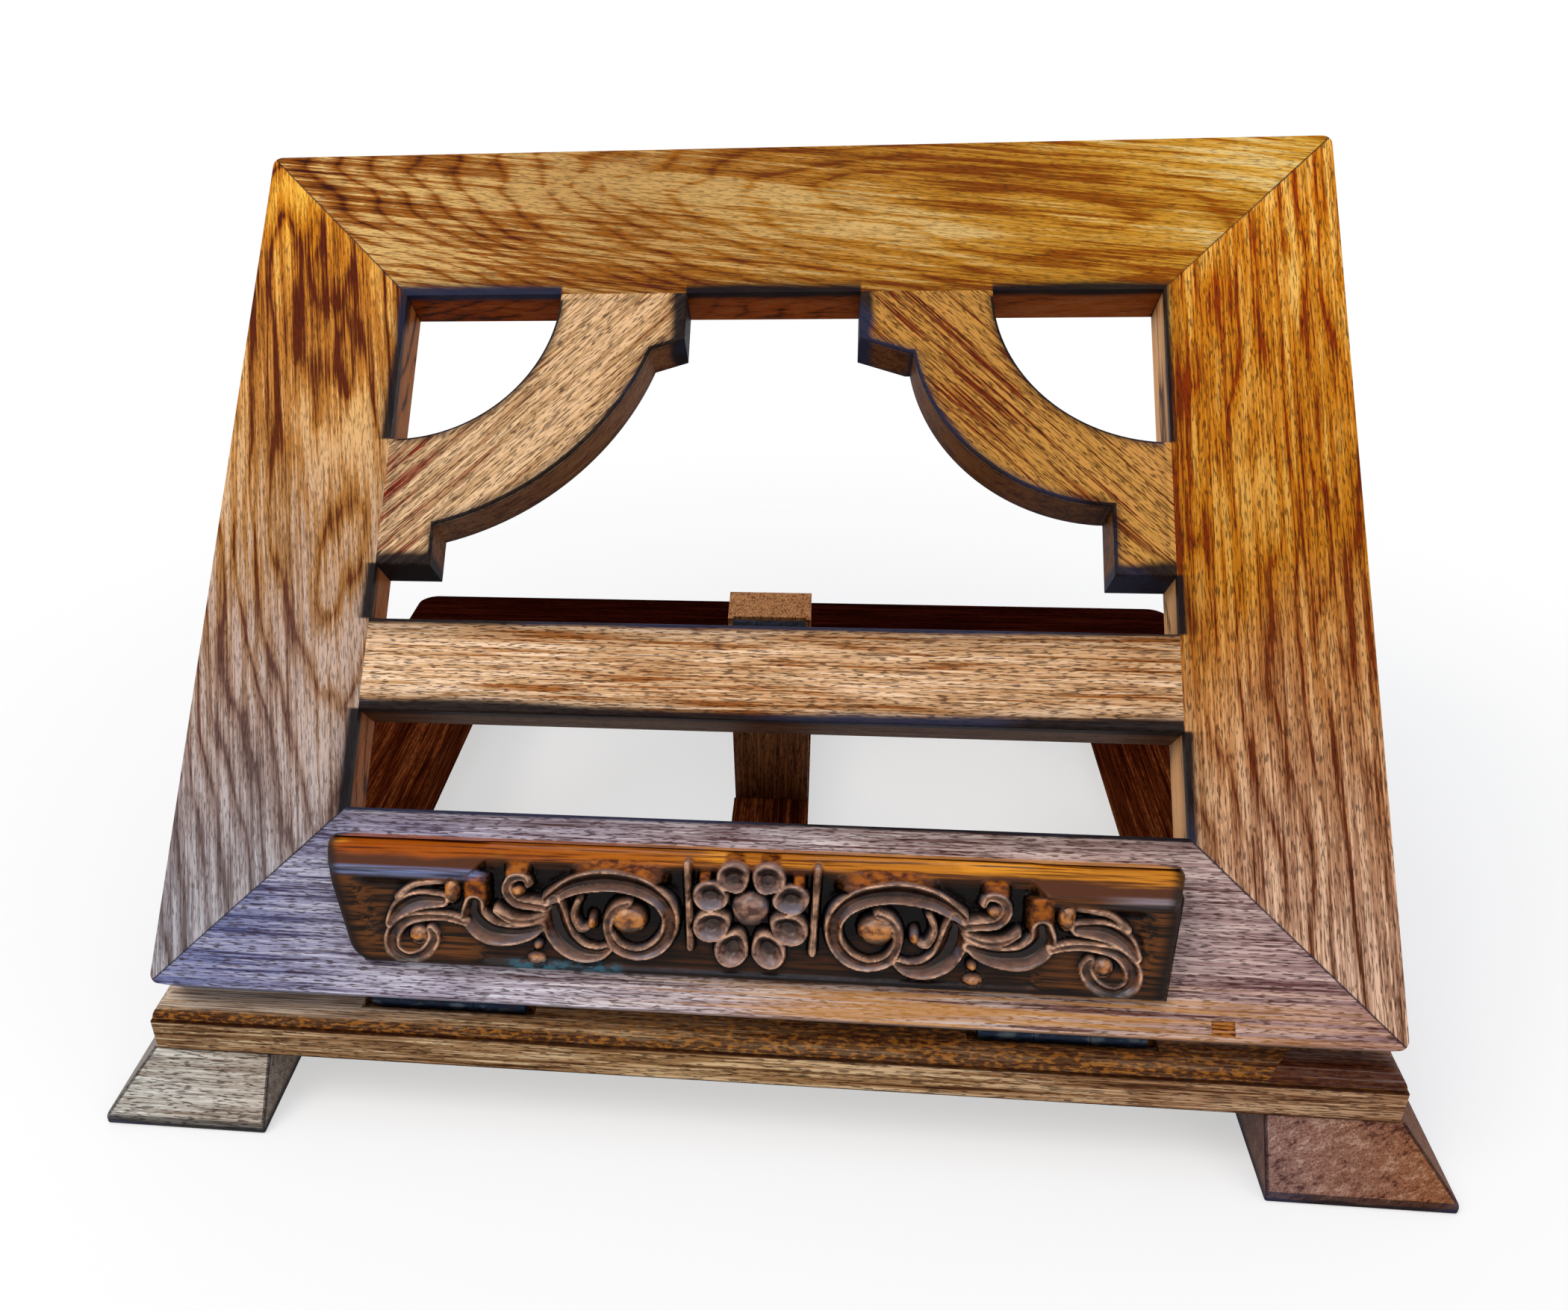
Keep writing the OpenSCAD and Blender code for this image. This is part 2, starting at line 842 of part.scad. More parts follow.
module base_hinge_cuts() {
    for (side = [-1, 1])
        at_base_leaf(side) {
            leaf_recess(hinge_l + 2 * recess_end, leaf_w, leaf_t, hinge_gap / 2, barrel_r);
            translate([-hinge_l / 2 - recess_end, -recess_front, hinge_gap / 2 - over])
                cube([hinge_l + 2 * recess_end, recess_front, leaf_t + over]);
            pair_of_screw_holes(hinge_screw_pitch, leaf_w, hinge_gap / 2);
        }
}

module foot_screw_places() {
    for (side = [0, 1], rear = [0, 1], in = [foot_screw_near, foot_screw_far])
        mirror([side, 0, 0])
            mirror([0, 1 - rear, 0])
                translate([foot_x + in, foot_y + in, foot_screw_sink])
                    children();
}

module foot_screw_holes() {
    foot_screw_places()
        screw_hole(screw_d, screw_head_d, screw_head_h, foot_screw_l);
}

module rail_dowel_set(gap) {
    for (y = [front_joint_y, rear_joint_y])
        translate([0, y, foot_h + board_t / 2]) {
            translate([prop_x, 0, 0])
                rod_y(rail_dowel_d / 2 + gap, rail_dowel_l + 2 * gap);
            for (side = [-1, 1], x = [-rail_dowel_pitch / 2, rail_dowel_pitch / 2])
                translate([side * rail_mid_x + x, 0, 0])
                    rod_y(rail_dowel_d / 2 + gap, rail_dowel_l + 2 * gap);
        }
}

module front_board() {
    color("#a07848")
        difference() {
            front_board_blank();
            patch_space();
            base_hinge_cuts();
            rail_dowel_set(joint_gap);
            foot_screw_holes();
        }
}

module moulding_patch() {
    color("#6f3a1a")
        intersection() {
            front_board_blank();
            patch_space();
        }
}

module side_rail(side) {
    difference() {
        translate([side * rail_mid_x - side_rail_w / 2, front_joint_y, foot_h])
            cube([side_rail_w, rear_joint_y - front_joint_y, board_t]);
        rail_dowel_set(joint_gap);
    }
}

module left_side_rail() {
    color("#7d4a24")
        side_rail(-1);
}

module right_side_rail() {
    color("#7d4a24")
        side_rail(1);
}

module rear_rail() {
    color("#5e2c16")
        difference() {
            translate([0, rear_joint_y, foot_h])
                linear_extrude(board_t) {
                    translate([-rail_outer_x, 0])
                        square([2 * rail_outer_x, rear_rail_d - rear_corner_r]);
                    translate([-rail_outer_x + rear_corner_r, 0])
                        square([2 * (rail_outer_x - rear_corner_r), rear_rail_d]);
                    for (side = [-1, 1])
                        translate([side * (rail_outer_x - rear_corner_r), rear_rail_d - rear_corner_r])
                            circle(rear_corner_r);
                }
            rail_dowel_set(joint_gap);
            foot_screw_holes();
        }
}

// Side view of the space that the prop's foot needs as the desk comes down, with the notches below it
module rack_dish() {
    steps = 15;
    path = [
        for (i = [0 : steps])
            foot_edge(desk_tilt * (1 - i / steps)) + [rack_run_out * i / steps, -foot_gap]
    ];
    polygon(concat(
        [[rack_step_y, base_top + 2 * over], [rack_step_y, path[0][1]]],
        path,
        [[path[steps][0], base_top + 2 * over]]
    ));
    for (i = [0 : notches - 1]) {
        edge = foot_edge(desk_tilt - i * notch_step) - [0, foot_gap];
        polygon([
            edge + [-rack_step_gap, foot_gap], edge - [rack_step_gap, 0],
            edge + [notch_l, -notch_d], edge + [notch_l, foot_gap]
        ]);
    }
}

module centre_rack() {
    color("#54260f")
        difference() {
            translate([prop_x - rack_w / 2, front_joint_y, foot_h])
                cube([rack_w, rear_joint_y - front_joint_y, board_t]);
            translate([prop_x - rack_w / 2 - over, 0, 0])
                rotate([90, 0, 90])
                    linear_extrude(rack_w + 2 * over)
                        rack_dish();
            rail_dowel_set(joint_gap);
        }
}

module rail_dowels() {
    color("#c19a62")
        rail_dowel_set(0);
}

// Feet: x and y run outward from the foot's inner corner

module foot_section() {
    polygon([
        [0, 0], [foot_size, 0], [foot_size, foot_toe], [foot_top, foot_h], [0, foot_h]
    ]);
}

module foot(side, rear) {
    difference() {
        mirror([side < 0 ? 1 : 0, 0, 0])
            mirror([0, rear ? 0 : 1, 0])
                translate([foot_x, foot_y, 0])
                    intersection() {
                        translate([0, foot_size, 0])
                            rotate([90, 0, 0])
                                linear_extrude(foot_size)
                                    foot_section();
                        rotate([90, 0, 90])
                            linear_extrude(foot_size)
                                foot_section();
                    }
        foot_screw_holes();
        foot_screw_places()
            translate([0, 0, -foot_screw_sink - over])
                cylinder(d = screw_head_d + 2 * joint_gap, h = foot_screw_sink + over);
    }
}

module front_left_foot() {
    color("#c3a98a")
        foot(-1, false);
}

module front_right_foot() {
    color("#a98478")
        foot(1, false);
}

module rear_left_foot() {
    color("#8a5a34")
        foot(-1, true);
}

module rear_right_foot() {
    color("#8a5a34")
        foot(1, true);
}

module foot_screws() {
    color("#8c8577")
        foot_screw_places()
            screw(screw_d, screw_head_d, screw_head_h, foot_screw_l);
}

// Hinges between base and desk

module desk_hinge_leaf(outer) {
    difference() {
        hinge_leaf(outer, hinge_l, leaf_w, leaf_t, hinge_gap / 2, barrel_r, pin_r);
        pair_of_screw_holes(hinge_screw_pitch, leaf_w, hinge_gap / 2);
    }
}

module hinge_pin(side) {
    translate([side * hinge_x, axis_y, axis_z])
        rod_x(pin_r, hinge_l);
}

module left_hinge_base_leaf() {
    color("#2f3a44")
        at_base_leaf(-1)
            desk_hinge_leaf(true);
}

module left_hinge_desk_leaf() {
    color("#2f3a44")
        at_desk_leaf(-1)
            desk_hinge_leaf(false);
}

module left_hinge_pin() {
    color("#454f57")
        hinge_pin(-1);
}

module right_hinge_base_leaf() {
    color("#2f3a44")
        at_base_leaf(1)
            desk_hinge_leaf(true);
}

module right_hinge_desk_leaf() {
    color("#2f3a44")
        at_desk_leaf(1)
            desk_hinge_leaf(false);
}

module right_hinge_pin() {
    color("#454f57")
        hinge_pin(1);
}

module hinge_base_screws() {
    color("#59626a")
        for (side = [-1, 1])
            at_base_leaf(side)
                pair_of_screws(hinge_screw_pitch, leaf_w, hinge_gap / 2);
}

module hinge_desk_screws() {
    color("#59626a")
        for (side = [-1, 1])
            at_desk_leaf(side)
                pair_of_screws(hinge_screw_pitch, leaf_w, hinge_gap / 2);
}

// Prop

module prop_leg() {
    color("#64301a")
        at_leg()
            difference() {
                translate([-prop_w / 2, 0, 0])
                    rotate([90, 0, 90])
                        linear_extrude(prop_w)
                            polygon([
                                [-prop_head, prop_leaf_off], [leg_near_l, prop_leaf_off],
                                [leg_far_l, prop_leaf_off + prop_t], [-prop_head, prop_leaf_off + prop_t]
                            ]);
                prop_leaf_recess();
                // Room for the other leaf when the leg is folded up into the window
                translate([-prop_room_l / 2, -prop_head - over, 0])
                    cube([prop_room_l, prop_head + over, prop_barrel_r + barrel_room]);
                rod_x(prop_barrel_r + barrel_room, prop_w + 2 * over);
                pair_of_screw_holes(prop_screw_pitch, prop_leaf_w, prop_leaf_off);
            }
}

module prop_leaf(outer) {
    difference() {
        hinge_leaf(outer, prop_hinge_l, prop_leaf_w, prop_leaf_t, prop_leaf_off, prop_barrel_r, prop_pin_r);
        pair_of_screw_holes(prop_screw_pitch, prop_leaf_w, prop_leaf_off);
    }
}

module prop_hinge_desk_leaf() {
    color("#2f3a44")
        at_prop_desk_leaf()
            prop_leaf(true);
}

module prop_hinge_leg_leaf() {
    color("#2f3a44")
        at_leg()
            prop_leaf(false);
}

module prop_hinge_pin() {
    color("#454f57")
        at_prop_pin()
            rod_x(prop_pin_r, prop_hinge_l);
}

module prop_hinge_desk_screws() {
    color("#59626a")
        at_prop_desk_leaf()
            pair_of_screws(prop_screw_pitch, prop_leaf_w, prop_leaf_off);
}

module prop_hinge_leg_screws() {
    color("#59626a")
        at_leg()
            pair_of_screws(prop_screw_pitch, prop_leaf_w, prop_leaf_off);
}

top_rail();
left_stile();
right_stile();
bottom_rail();
cross_rail();
left_bracket();
right_bracket();
book_ledge();
edge_plug();
mitre_splines();
bracket_dowels();
ledge_screws();
front_board();
moulding_patch();
left_side_rail();
right_side_rail();
rear_rail();
centre_rack();
rail_dowels();
front_left_foot();
front_right_foot();
rear_left_foot();
rear_right_foot();
foot_screws();
left_hinge_base_leaf();
left_hinge_desk_leaf();
left_hinge_pin();
right_hinge_base_leaf();
right_hinge_desk_leaf();
right_hinge_pin();
hinge_base_screws();
hinge_desk_screws();
prop_leg();
prop_hinge_desk_leaf();
prop_hinge_leg_leaf();
prop_hinge_pin();
prop_hinge_desk_screws();
prop_hinge_leg_screws();
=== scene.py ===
"""Looks of the table-top lectern: eased boards, carved ledge, worn varnish, blued hinges, stage and camera."""

import math

import bmesh
import bpy
import numpy as np
from bpy.props import FloatProperty, FloatVectorProperty, IntProperty, PointerProperty
from mathutils import Matrix, Vector


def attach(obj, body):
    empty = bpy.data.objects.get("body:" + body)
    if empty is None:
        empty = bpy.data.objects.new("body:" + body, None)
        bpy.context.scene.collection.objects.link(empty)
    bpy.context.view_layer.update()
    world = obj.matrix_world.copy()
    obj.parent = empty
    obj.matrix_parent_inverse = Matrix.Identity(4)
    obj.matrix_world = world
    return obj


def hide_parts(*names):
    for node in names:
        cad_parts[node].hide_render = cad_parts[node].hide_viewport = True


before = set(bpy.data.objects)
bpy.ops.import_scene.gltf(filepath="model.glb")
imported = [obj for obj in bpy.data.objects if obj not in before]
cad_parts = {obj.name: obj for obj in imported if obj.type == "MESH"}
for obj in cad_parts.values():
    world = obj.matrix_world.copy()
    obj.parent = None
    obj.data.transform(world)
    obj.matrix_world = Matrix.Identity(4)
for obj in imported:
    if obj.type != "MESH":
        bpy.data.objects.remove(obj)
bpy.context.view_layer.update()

bl_info = {
    "name": "Table-top lectern",
    "version": (1, 0, 0),
    "blender": (4, 5, 0),
    "location": "3D View > Sidebar > Lectern",
    "description": "Builds the wood, the carving and the stage of the lectern round its CAD frame",
    "category": "Object",
}

MM = 0.001

# Sizes of the CAD frame in millimetres
HALF_W = 170.0
DESK_H = 274.0
DESK_T = 16.0
WINDOW_X = 118.0
BOTTOM_RAIL = 53.0
WINDOW_TOP = 221.0
CROSS_LOW = 82.5
CROSS_HIGH = 111.2
BRACKET_ON_RAIL = (27.0, 67.5)
BRACKET_ON_STILE = (128.5, 170.5)
DESK_TILT = 45.0
PROP_LEAN = 71.4
FOOT_H = 19.0
FRONT_JOINT = -89.5
REAR_JOINT = 96.5
AXIS = Vector((0, -131.1, 35.3))
PROP_PIN = Vector((2, -48.086, 116.617))
DESK = (
    Matrix.Translation(AXIS)
    @ Matrix.Rotation(math.radians(DESK_TILT), 4, "X")
    @ Matrix.Translation((0, 0, 0.3))
)
DESK_INVERSE = DESK.inverted()

# Heights of the groove under the base's moulding and of its crest
GROOVE_Z = 30.0
CREST_Z = 34.4

# Section and plan of the ledge in millimetres. Each end has its reach from the middle at the top, and how far it
# leans for each millimetre up the desk and out of it
LEDGE_ENDS = {-1: (122.0, 0.335, 0.11), 1: (118.0, 0.2126, 0.2173)}
LEDGE_LENGTH = 236
CORNER_R = 4.0
TOP_CORNER_R = 6.0
# Height up the desk of the painted highlight along the nose, and place across of the painted blue-green reflection
# at the foot
NOSE_SHINE = 32.7
GLEAM_X = -50.0
LEDGE_FOOT = 9.5
LEDGE_TOP = 45.5
LEDGE_FOOT_T = 3.5
NOSE = (18.0, 33.0)
TOP_SWELL = 2.6
FACE_LEAN = math.atan2(NOSE[0] - LEDGE_FOOT_T, NOSE[1] - LEDGE_FOOT)
# Direction up the carved face, in the resting frame
FACE_UP = (0.0, 0.2305, 0.973)
# Line of sight in the ledge's section: out of the desk, up the desk
SIGHT = np.array([0.9652, -0.2615])

# Meshes: places that count as one, turns that count as flat, outward or creased, and the reach of a mitre
MERGE = 0.001
TOUCH = 0.05
FLAT = math.radians(0.8)
OUTWARD = math.radians(25)
CREASE = math.radians(32)
NEAR_MITRE = 0.2
# Shortest edges that are rounded, in millimetres, so that sockets and mouths of holes stay crisp
SHORTEST = {"back": 100.0, "bottom": 20.0, "cross": 150.0, "rail": 12.0, "foot": 2.5, "prop": 9.0}

# Carving, in millimetres
WALL_RUN = 0.7
PETAL_R = 4.3
PETAL_HALF_W = 4.4
PETAL_WALL = 0.6
PETAL_DIP = 2.8
BOSS_R = 5.0
# Dip at the edge of a knob and of the flower's boss, and the rise of its middle above that
KNOB_DOME = (1.8, 2.8)
BOSS_DOME = (2.0, 4.0)
# Least and most dip in the middle of a stroke
STROKE_DIP = (0.25, 3.2)
OUTSIDE = 9.0
CARVED_TOP = (33.0, 34.5)
FIELD_END = (-76.0, -71.0)
FIELD_EDGE = (4.5, 11.0)
END_R = 2.0
# Depth of the ground at the ledge's foot and at its ends, of plain wood, and what a hood stands above that
FOOT_CUT = 1.6
END_CUT = 3.0
PLAIN_CUT = 1.8
HOOD_RISE = 1.4
# Depths from which painted shade darkens a cut and the hollow of a stroke
SHADED_CUT = 3.6
SHADED_DIP = 1.3

# Light of the room on the object, and the floor: half size in metres, fade in millimetres, and what shows through
ROOM_LIGHT = 0.55
FLOOR_SIZE = 4.0
FLOOR_FADE = (220.0, 480.0)
FLOOR_CLEAR = 0.52


def linear(text):
    """Turns an sRGB colour such as #aa7431 into linear red, green and blue."""
    parts = [int(text[i : i + 2], 16) / 255 for i in (1, 3, 5)]
    return tuple(p / 12.92 if p <= 0.04045 else ((p + 0.055) / 1.055) ** 2.4 for p in parts)


def colour(name, description, text):
    return FloatVectorProperty(
        name=name, description=description, default=linear(text), subtype="COLOR", size=3, min=0, max=1
    )


def length(name, description, mm):
    return FloatProperty(
        name=name, description=description, default=mm * MM, min=0, subtype="DISTANCE", unit="LENGTH"
    )


class LecternSizes(bpy.types.PropertyGroup):
    board_round: length("Board edges", "Rounding of the desk boards' edges", 0.9)
    plug_round: length("Bottom rail edges", "Rounding of the bottom rail's edges, beside the plug", 0.9)
    bracket_round: length("Bracket edges", "Rounding of the brackets' edges", 0.9)
    base_round: length("Base edges", "Rounding of the edges of base, feet and prop", 0.8)
    leg_round: length("Prop edges", "Rounding of the prop's edges, which shows at its head", 1.7)
    bracket_burn: length("Bracket burn", "Reach of the burnt outline onto a bracket's face", 7)
    soft_burn: length("Scorched edges", "Reach of the brown scorching along the window's edges", 8)
    pore_length: length("Pore length", "Length of the dark pores along the grain", 3.4)
    pore_width: length("Pore width", "Width of the dark pores", 0.42)
    ledge_step: length("Carving step", "Distance between the points of the carved face", 0.34)
    ground_depth: length("Ground depth", "Depth of the carved ground under the nose", 6)
    round_steps: IntProperty(name="Rounding steps", description="Faces across a rounded edge", default=3, min=1)


class LecternColours(bpy.types.PropertyGroup):
    burn: colour("Burnt wood", "Blue-black of the burnt edges", "#0b0b12")
    # Painted blue reflection of the sky, laid on parts of the burnt edges
    burn_painted_reflection: colour("Burnt wood, shine", "Blue shine on parts of the burnt edges", "#263150")
    moulding: colour("Moulding", "Dark varnish in the base's moulding", "#38160a")
    moulding_glow: colour("Moulding, glow", "Orange glow of the base's moulding", "#b87424")
    # Painted pale highlight on the moulding's crest at the base's left end
    crest_painted_highlight: colour("Worn moulding", "Pale worn wood on the moulding's crest", "#d8c8b8")
    scorch: colour("Scorched wood", "Dark brown beside the burnt edges", "#351806")
    pore: colour("Pores", "Dark filling of the open pores", "#2a0e03")
    steel: colour("Blued steel", "Colour of the hinges", "#182234")
    rust: colour("Rust", "Brown of the spots of rust on steel", "#4a2a18")
    black_steel: colour("Blackened steel", "Colour of the prop's hinge", "#07080c")
    worn_steel: colour("Worn steel", "Colour of the hinges where the bluing is rubbed", "#465058")
    screw: colour("Screws", "Colour of the screws", "#8b8578")
    floor: colour("Floor", "Colour of the pale floor", "#f4f4f4")
    band_left: colour("Ledge top, left", "Orange of the ledge's rounded top at its left end", "#a04c0c")
    band_right: colour("Ledge top, right", "Orange of the ledge's rounded top at its right end", "#c67e26")
    band_dark: colour("Ledge top, streaks", "Dark streaks in the ledge's rounded top", "#45190a")
    band_light: colour("Ledge top, glow", "Light patches of the ledge's rounded top", "#ec9a2c")
    ground: colour("Carved ground", "Dark streaks of the carved ground", "#140904")
    ground_light: colour("Carved ground, light", "Light streaks of the carved ground", "#40220f")
    relief: colour("Carved relief", "Brown of the scrolls", "#70462f")
    relief_dark: colour("Carved relief, dark", "Dark brown of the scrolls", "#341c12")
    # Rubbed light wood of the rims, lit further by a painted highlight where they look up
    rim: colour("Carved rims", "Rubbed light wood on the scrolls' rims", "#dcae90")
    # Painted light on the relief where it looks up
    rubbed: colour("Rubbed relief", "Light grey-brown where the relief looks up", "#a88878")
    # Near-black painted shade in the hollows, under what looks down and along the ledge's foot
    painted_shade_black: colour("Carved crevices", "Near-black wax in the crevices", "#060304")
    band_low: colour("Ledge top, low", "Brown of the ledge's rounded top down at its nose", "#4e2813")
    hood: colour("Uncarved wood", "Orange-brown of the wood left standing above the scrolls", "#9a5412")
    ground_end: colour("Carved ground, ends", "Light streaks of the ground near the ledge's ends", "#623818")
    petal: colour("Petals", "Grey-brown of the flower", "#967468")
    petal_dark: colour("Petals, dark", "Dark brown of the flower", "#482c22")
    knob: colour("Knobs", "Light orange-brown of the raised knobs", "#c27c38")
    knob_dark: colour("Knobs, dark", "Dark brown of the raised knobs", "#5a2c10")
    # Painted blue-green reflection on a patch of the ledge's foot
    painted_gleam: colour("Worn foot", "Blue-green of the worn patch along the ledge's foot", "#2a5c6e")
    # Painted cool reflection of the sky in hollows that face up
    pool: colour("Hollows, cool", "Blue-grey of the hollows that face the sky", "#56657e")
    # Painted cool highlight on the nose's ends
    nose_left: colour("Nose, left", "Cool shine on the nose at its left end", "#7288b8")
    nose_right: colour("Nose, right", "Cool shine on the nose at its right end", "#8a7f88")


# Sizes of the wood's patterns in millimetres, along and across the grain
WAVER = (120, 30)
FIBRE = (24, 0.55)
STRAND = (90, 1.8)
CLOUD = (85, 26)
FLECK = (2.6, 1.1)

# What a board has unless it says otherwise
PLAIN_WOOD = {
    # Frame in which its places are given, and its axis along the board
    "place": "desk",
    "axis": 0,
    # Turn of the grain on the board and into it, in degrees, and the length of its pattern
    "grain": 0,
    "dive": 0,
    "short": 1.0,
    # Heart of the growth rings in millimetres, their stretch along the grain, their width and how far they waver
    "heart": (0, 60, -30),
    "stretch": 8.0,
    "ring": 5.0,
    "waver": 24.0,
    # Weight of clouds in the tone, of fibres and strands in it, and share of the pores
    "cloud": 1.2,
    "fibre": (2.4, 1.8, 1.0),
    # Varnish: specular level
    "gloss": 0.04,
}
# Each board's own look. A stop has its place along the board in millimetres, and its dark, middle and light wood;
# an arris has its axis, its place and the width of its burn
WOODS = {
    "top_rail": {
        "stops": [
            (-170, "#320500", "#8f4e0d", "#e2ba74"),
            (-40, "#551e00", "#8d520e", "#b68c50"),
            (170, "#9a5200", "#cb932b", "#dcba74"),
        ],
        "grain": -7,
        "figure": 0.75,
        "cloud": 2.1,
        "fibre": (1.7, 1.6, 0.65),
        "heart": (50, 254, -10),
        "stretch": 4.5,
        "ring": 2.8,
        "waver": 14.0,
        "arrises": [(1, WINDOW_TOP, 2.6)],
        "joins": [BRACKET_ON_RAIL],
        "wall": "#8c3604",
        "mitres": [True],
    },
    "left_stile": {
        "axis": 1,
        "grain": 99,
        "stops": [
            # The grey at the stile's foot is partly a painted reflection of the sky on the varnish
            (20, "#605656", "#857e83", "#acaab0"),
            (130, "#5d2804", "#9f6f3b", "#c2a28b"),
            (250, "#521402", "#c4760f", "#f0b340"),
        ],
        "figure": 1.3,
        "cloud": 1.6,
        "fibre": (1.8, 1.6, 0.7),
        "heart": (205, 111, -8),
        "stretch": 5.0,
        "ring": 5.0,
        "arrises": [(0, WINDOW_X, 2.2)],
        "joins": [BRACKET_ON_STILE, (CROSS_LOW, CROSS_HIGH)],
        "wall": "#a05a2a",
        "mitres": [True, False],
    },
    "right_stile": {
        "axis": 1,
        "grain": 90,
        "stops": [
            (20, "#522913", "#a07a64", "#dcb89f"),
            (130, "#712800", "#b16b0f", "#c88c38"),
            (250, "#8f3000", "#cc7e12", "#edb75b"),
        ],
        "figure": 0.9,
        "fibre": (2.0, 1.8, 0.9),
        "heart": (150, -215, 0),
        "stretch": 9.0,
        "ring": 7.0,
        "waver": 45.0,
        "arrises": [(0, WINDOW_X, 1.6)],
        "joins": [BRACKET_ON_STILE, (CROSS_LOW, CROSS_HIGH)],
        "wall": "#ecb47c",
        "mitres": [True, False],
    },
    "bottom_rail": {
        # The cool blue and mauve, strongest at the left end, is partly a painted reflection of the sky on the
        # varnish
        "stops": [
            (-170, "#3a426a", "#70779e", "#9495b0"),
            (-60, "#533f42", "#a69ba9", "#d6d2de"),
            (60, "#63433f", "#b6a29e", "#e0d2ca"),
            (170, "#5e3b3c", "#927170", "#be9e97"),
        ],
        "figure": 0.4,
        "arrises": [(1, BOTTOM_RAIL, 0.9)],
        "wall": "#3a1c12",
        "mitres": [False],
        "warm": "#b47828",
    },
    "cross_rail": {
        "stops": [(-118, "#985a25", "#cda276", "#f2d0ae"), (118, "#8a5020", "#c3976c", "#e9c4a0")],
        "figure": 0.4,
        "arrises": [(1, CROSS_LOW, 2.6), (1, CROSS_HIGH, 1.4)],
        "wall": "#3c160a",
    },
    "left_bracket": {
        "grain": 45,
        "stops": [(-118, "#761a0a", "#b79269", "#e7c298"), (-30, "#661305", "#af8453", "#dfb485")],
        "figure": 0.3,
        "cloud": 2.2,
        "wall": "#5a2c12",
        "edges": True,
    },
    "right_bracket": {
        "grain": -45,
        "stops": [(30, "#672205", "#b58036", "#be843f"), (118, "#672205", "#bc8941", "#c58a47")],
        "figure": 0.3,
        "cloud": 2.2,
        "wall": "#5a2c12",
        "edges": True,
    },
    "front_board": {
        "place": "base",
        "stops": [
            (-170, "#4a2e16", "#967250", "#d0b894"),
            (0, "#542f12", "#a07a50", "#dcbc92"),
            (170, "#40200c", "#8c6244", "#c8a482"),
        ],
        "moulded": 0.7,
        "figure": 0.3,
    },
    "patch": {
        "place": "base",
        "stops": [(130, "#3c1e16", "#765044", "#b49a96"), (175, "#3c1e16", "#765044", "#b49a96")],
        "figure": 0.2,
        "moulded": 0.12,
    },
    "left_foot": {
        "place": "base",
        "stops": [(-180, "#86796d", "#b4b0a7", "#d5d5ce"), (-130, "#6e5b4b", "#a19385", "#c8beb2")],
        "figure": 0.3,
        "sole": True,
    },
    "right_foot": {
        "place": "base",
        "stops": [(130, "#54383a", "#8c6e68", "#b49a94"), (180, "#482414", "#885639", "#a87e62")],
        "figure": 0.2,
        "short": 0.1,
        "fibre": (1.3, 1.4, 0.7),
        "dive": 38,
        "sole": True,
    },
    "dark_rail": {
        "place": "base",
        "axis": 1,
        "grain": 90,
        "stops": [(-90, "#2c0a03", "#5c2810", "#8a4e28"), (96, "#1a0302", "#320d05", "#5c2a14")],
        "figure": 0.2,
        "gloss": 0.0,
    },
    "rear_rail": {
        "place": "base",
        # Near-black: dark stain deepened by painted shade
        "stops": [(-160, "#0c0100", "#1c0302", "#340e08"), (160, "#0c0100", "#1c0302", "#340e08")],
        "figure": 0.2,
        "gloss": 0.0,
    },
    "leg": {
        "place": "prop",
        "axis": 1,
        "grain": 90,
        "stops": [(0, "#7d4d2b", "#986840", "#a7784f"), (90, "#3c1a0c", "#5e3018", "#84502c")],
        "figure": 0.2,
    },
    "plug": {
        "stops": [(120, "#652904", "#a26527", "#ba8f82"), (130, "#652904", "#a26527", "#ba8f82")],
        "figure": 0.1,
    },
    "dowel": {
        "stops": [(-118, "#8a6238", "#b98f5c", "#d8b484"), (118, "#8a6238", "#b98f5c", "#d8b484")],
        "figure": 0.1,
    },
}

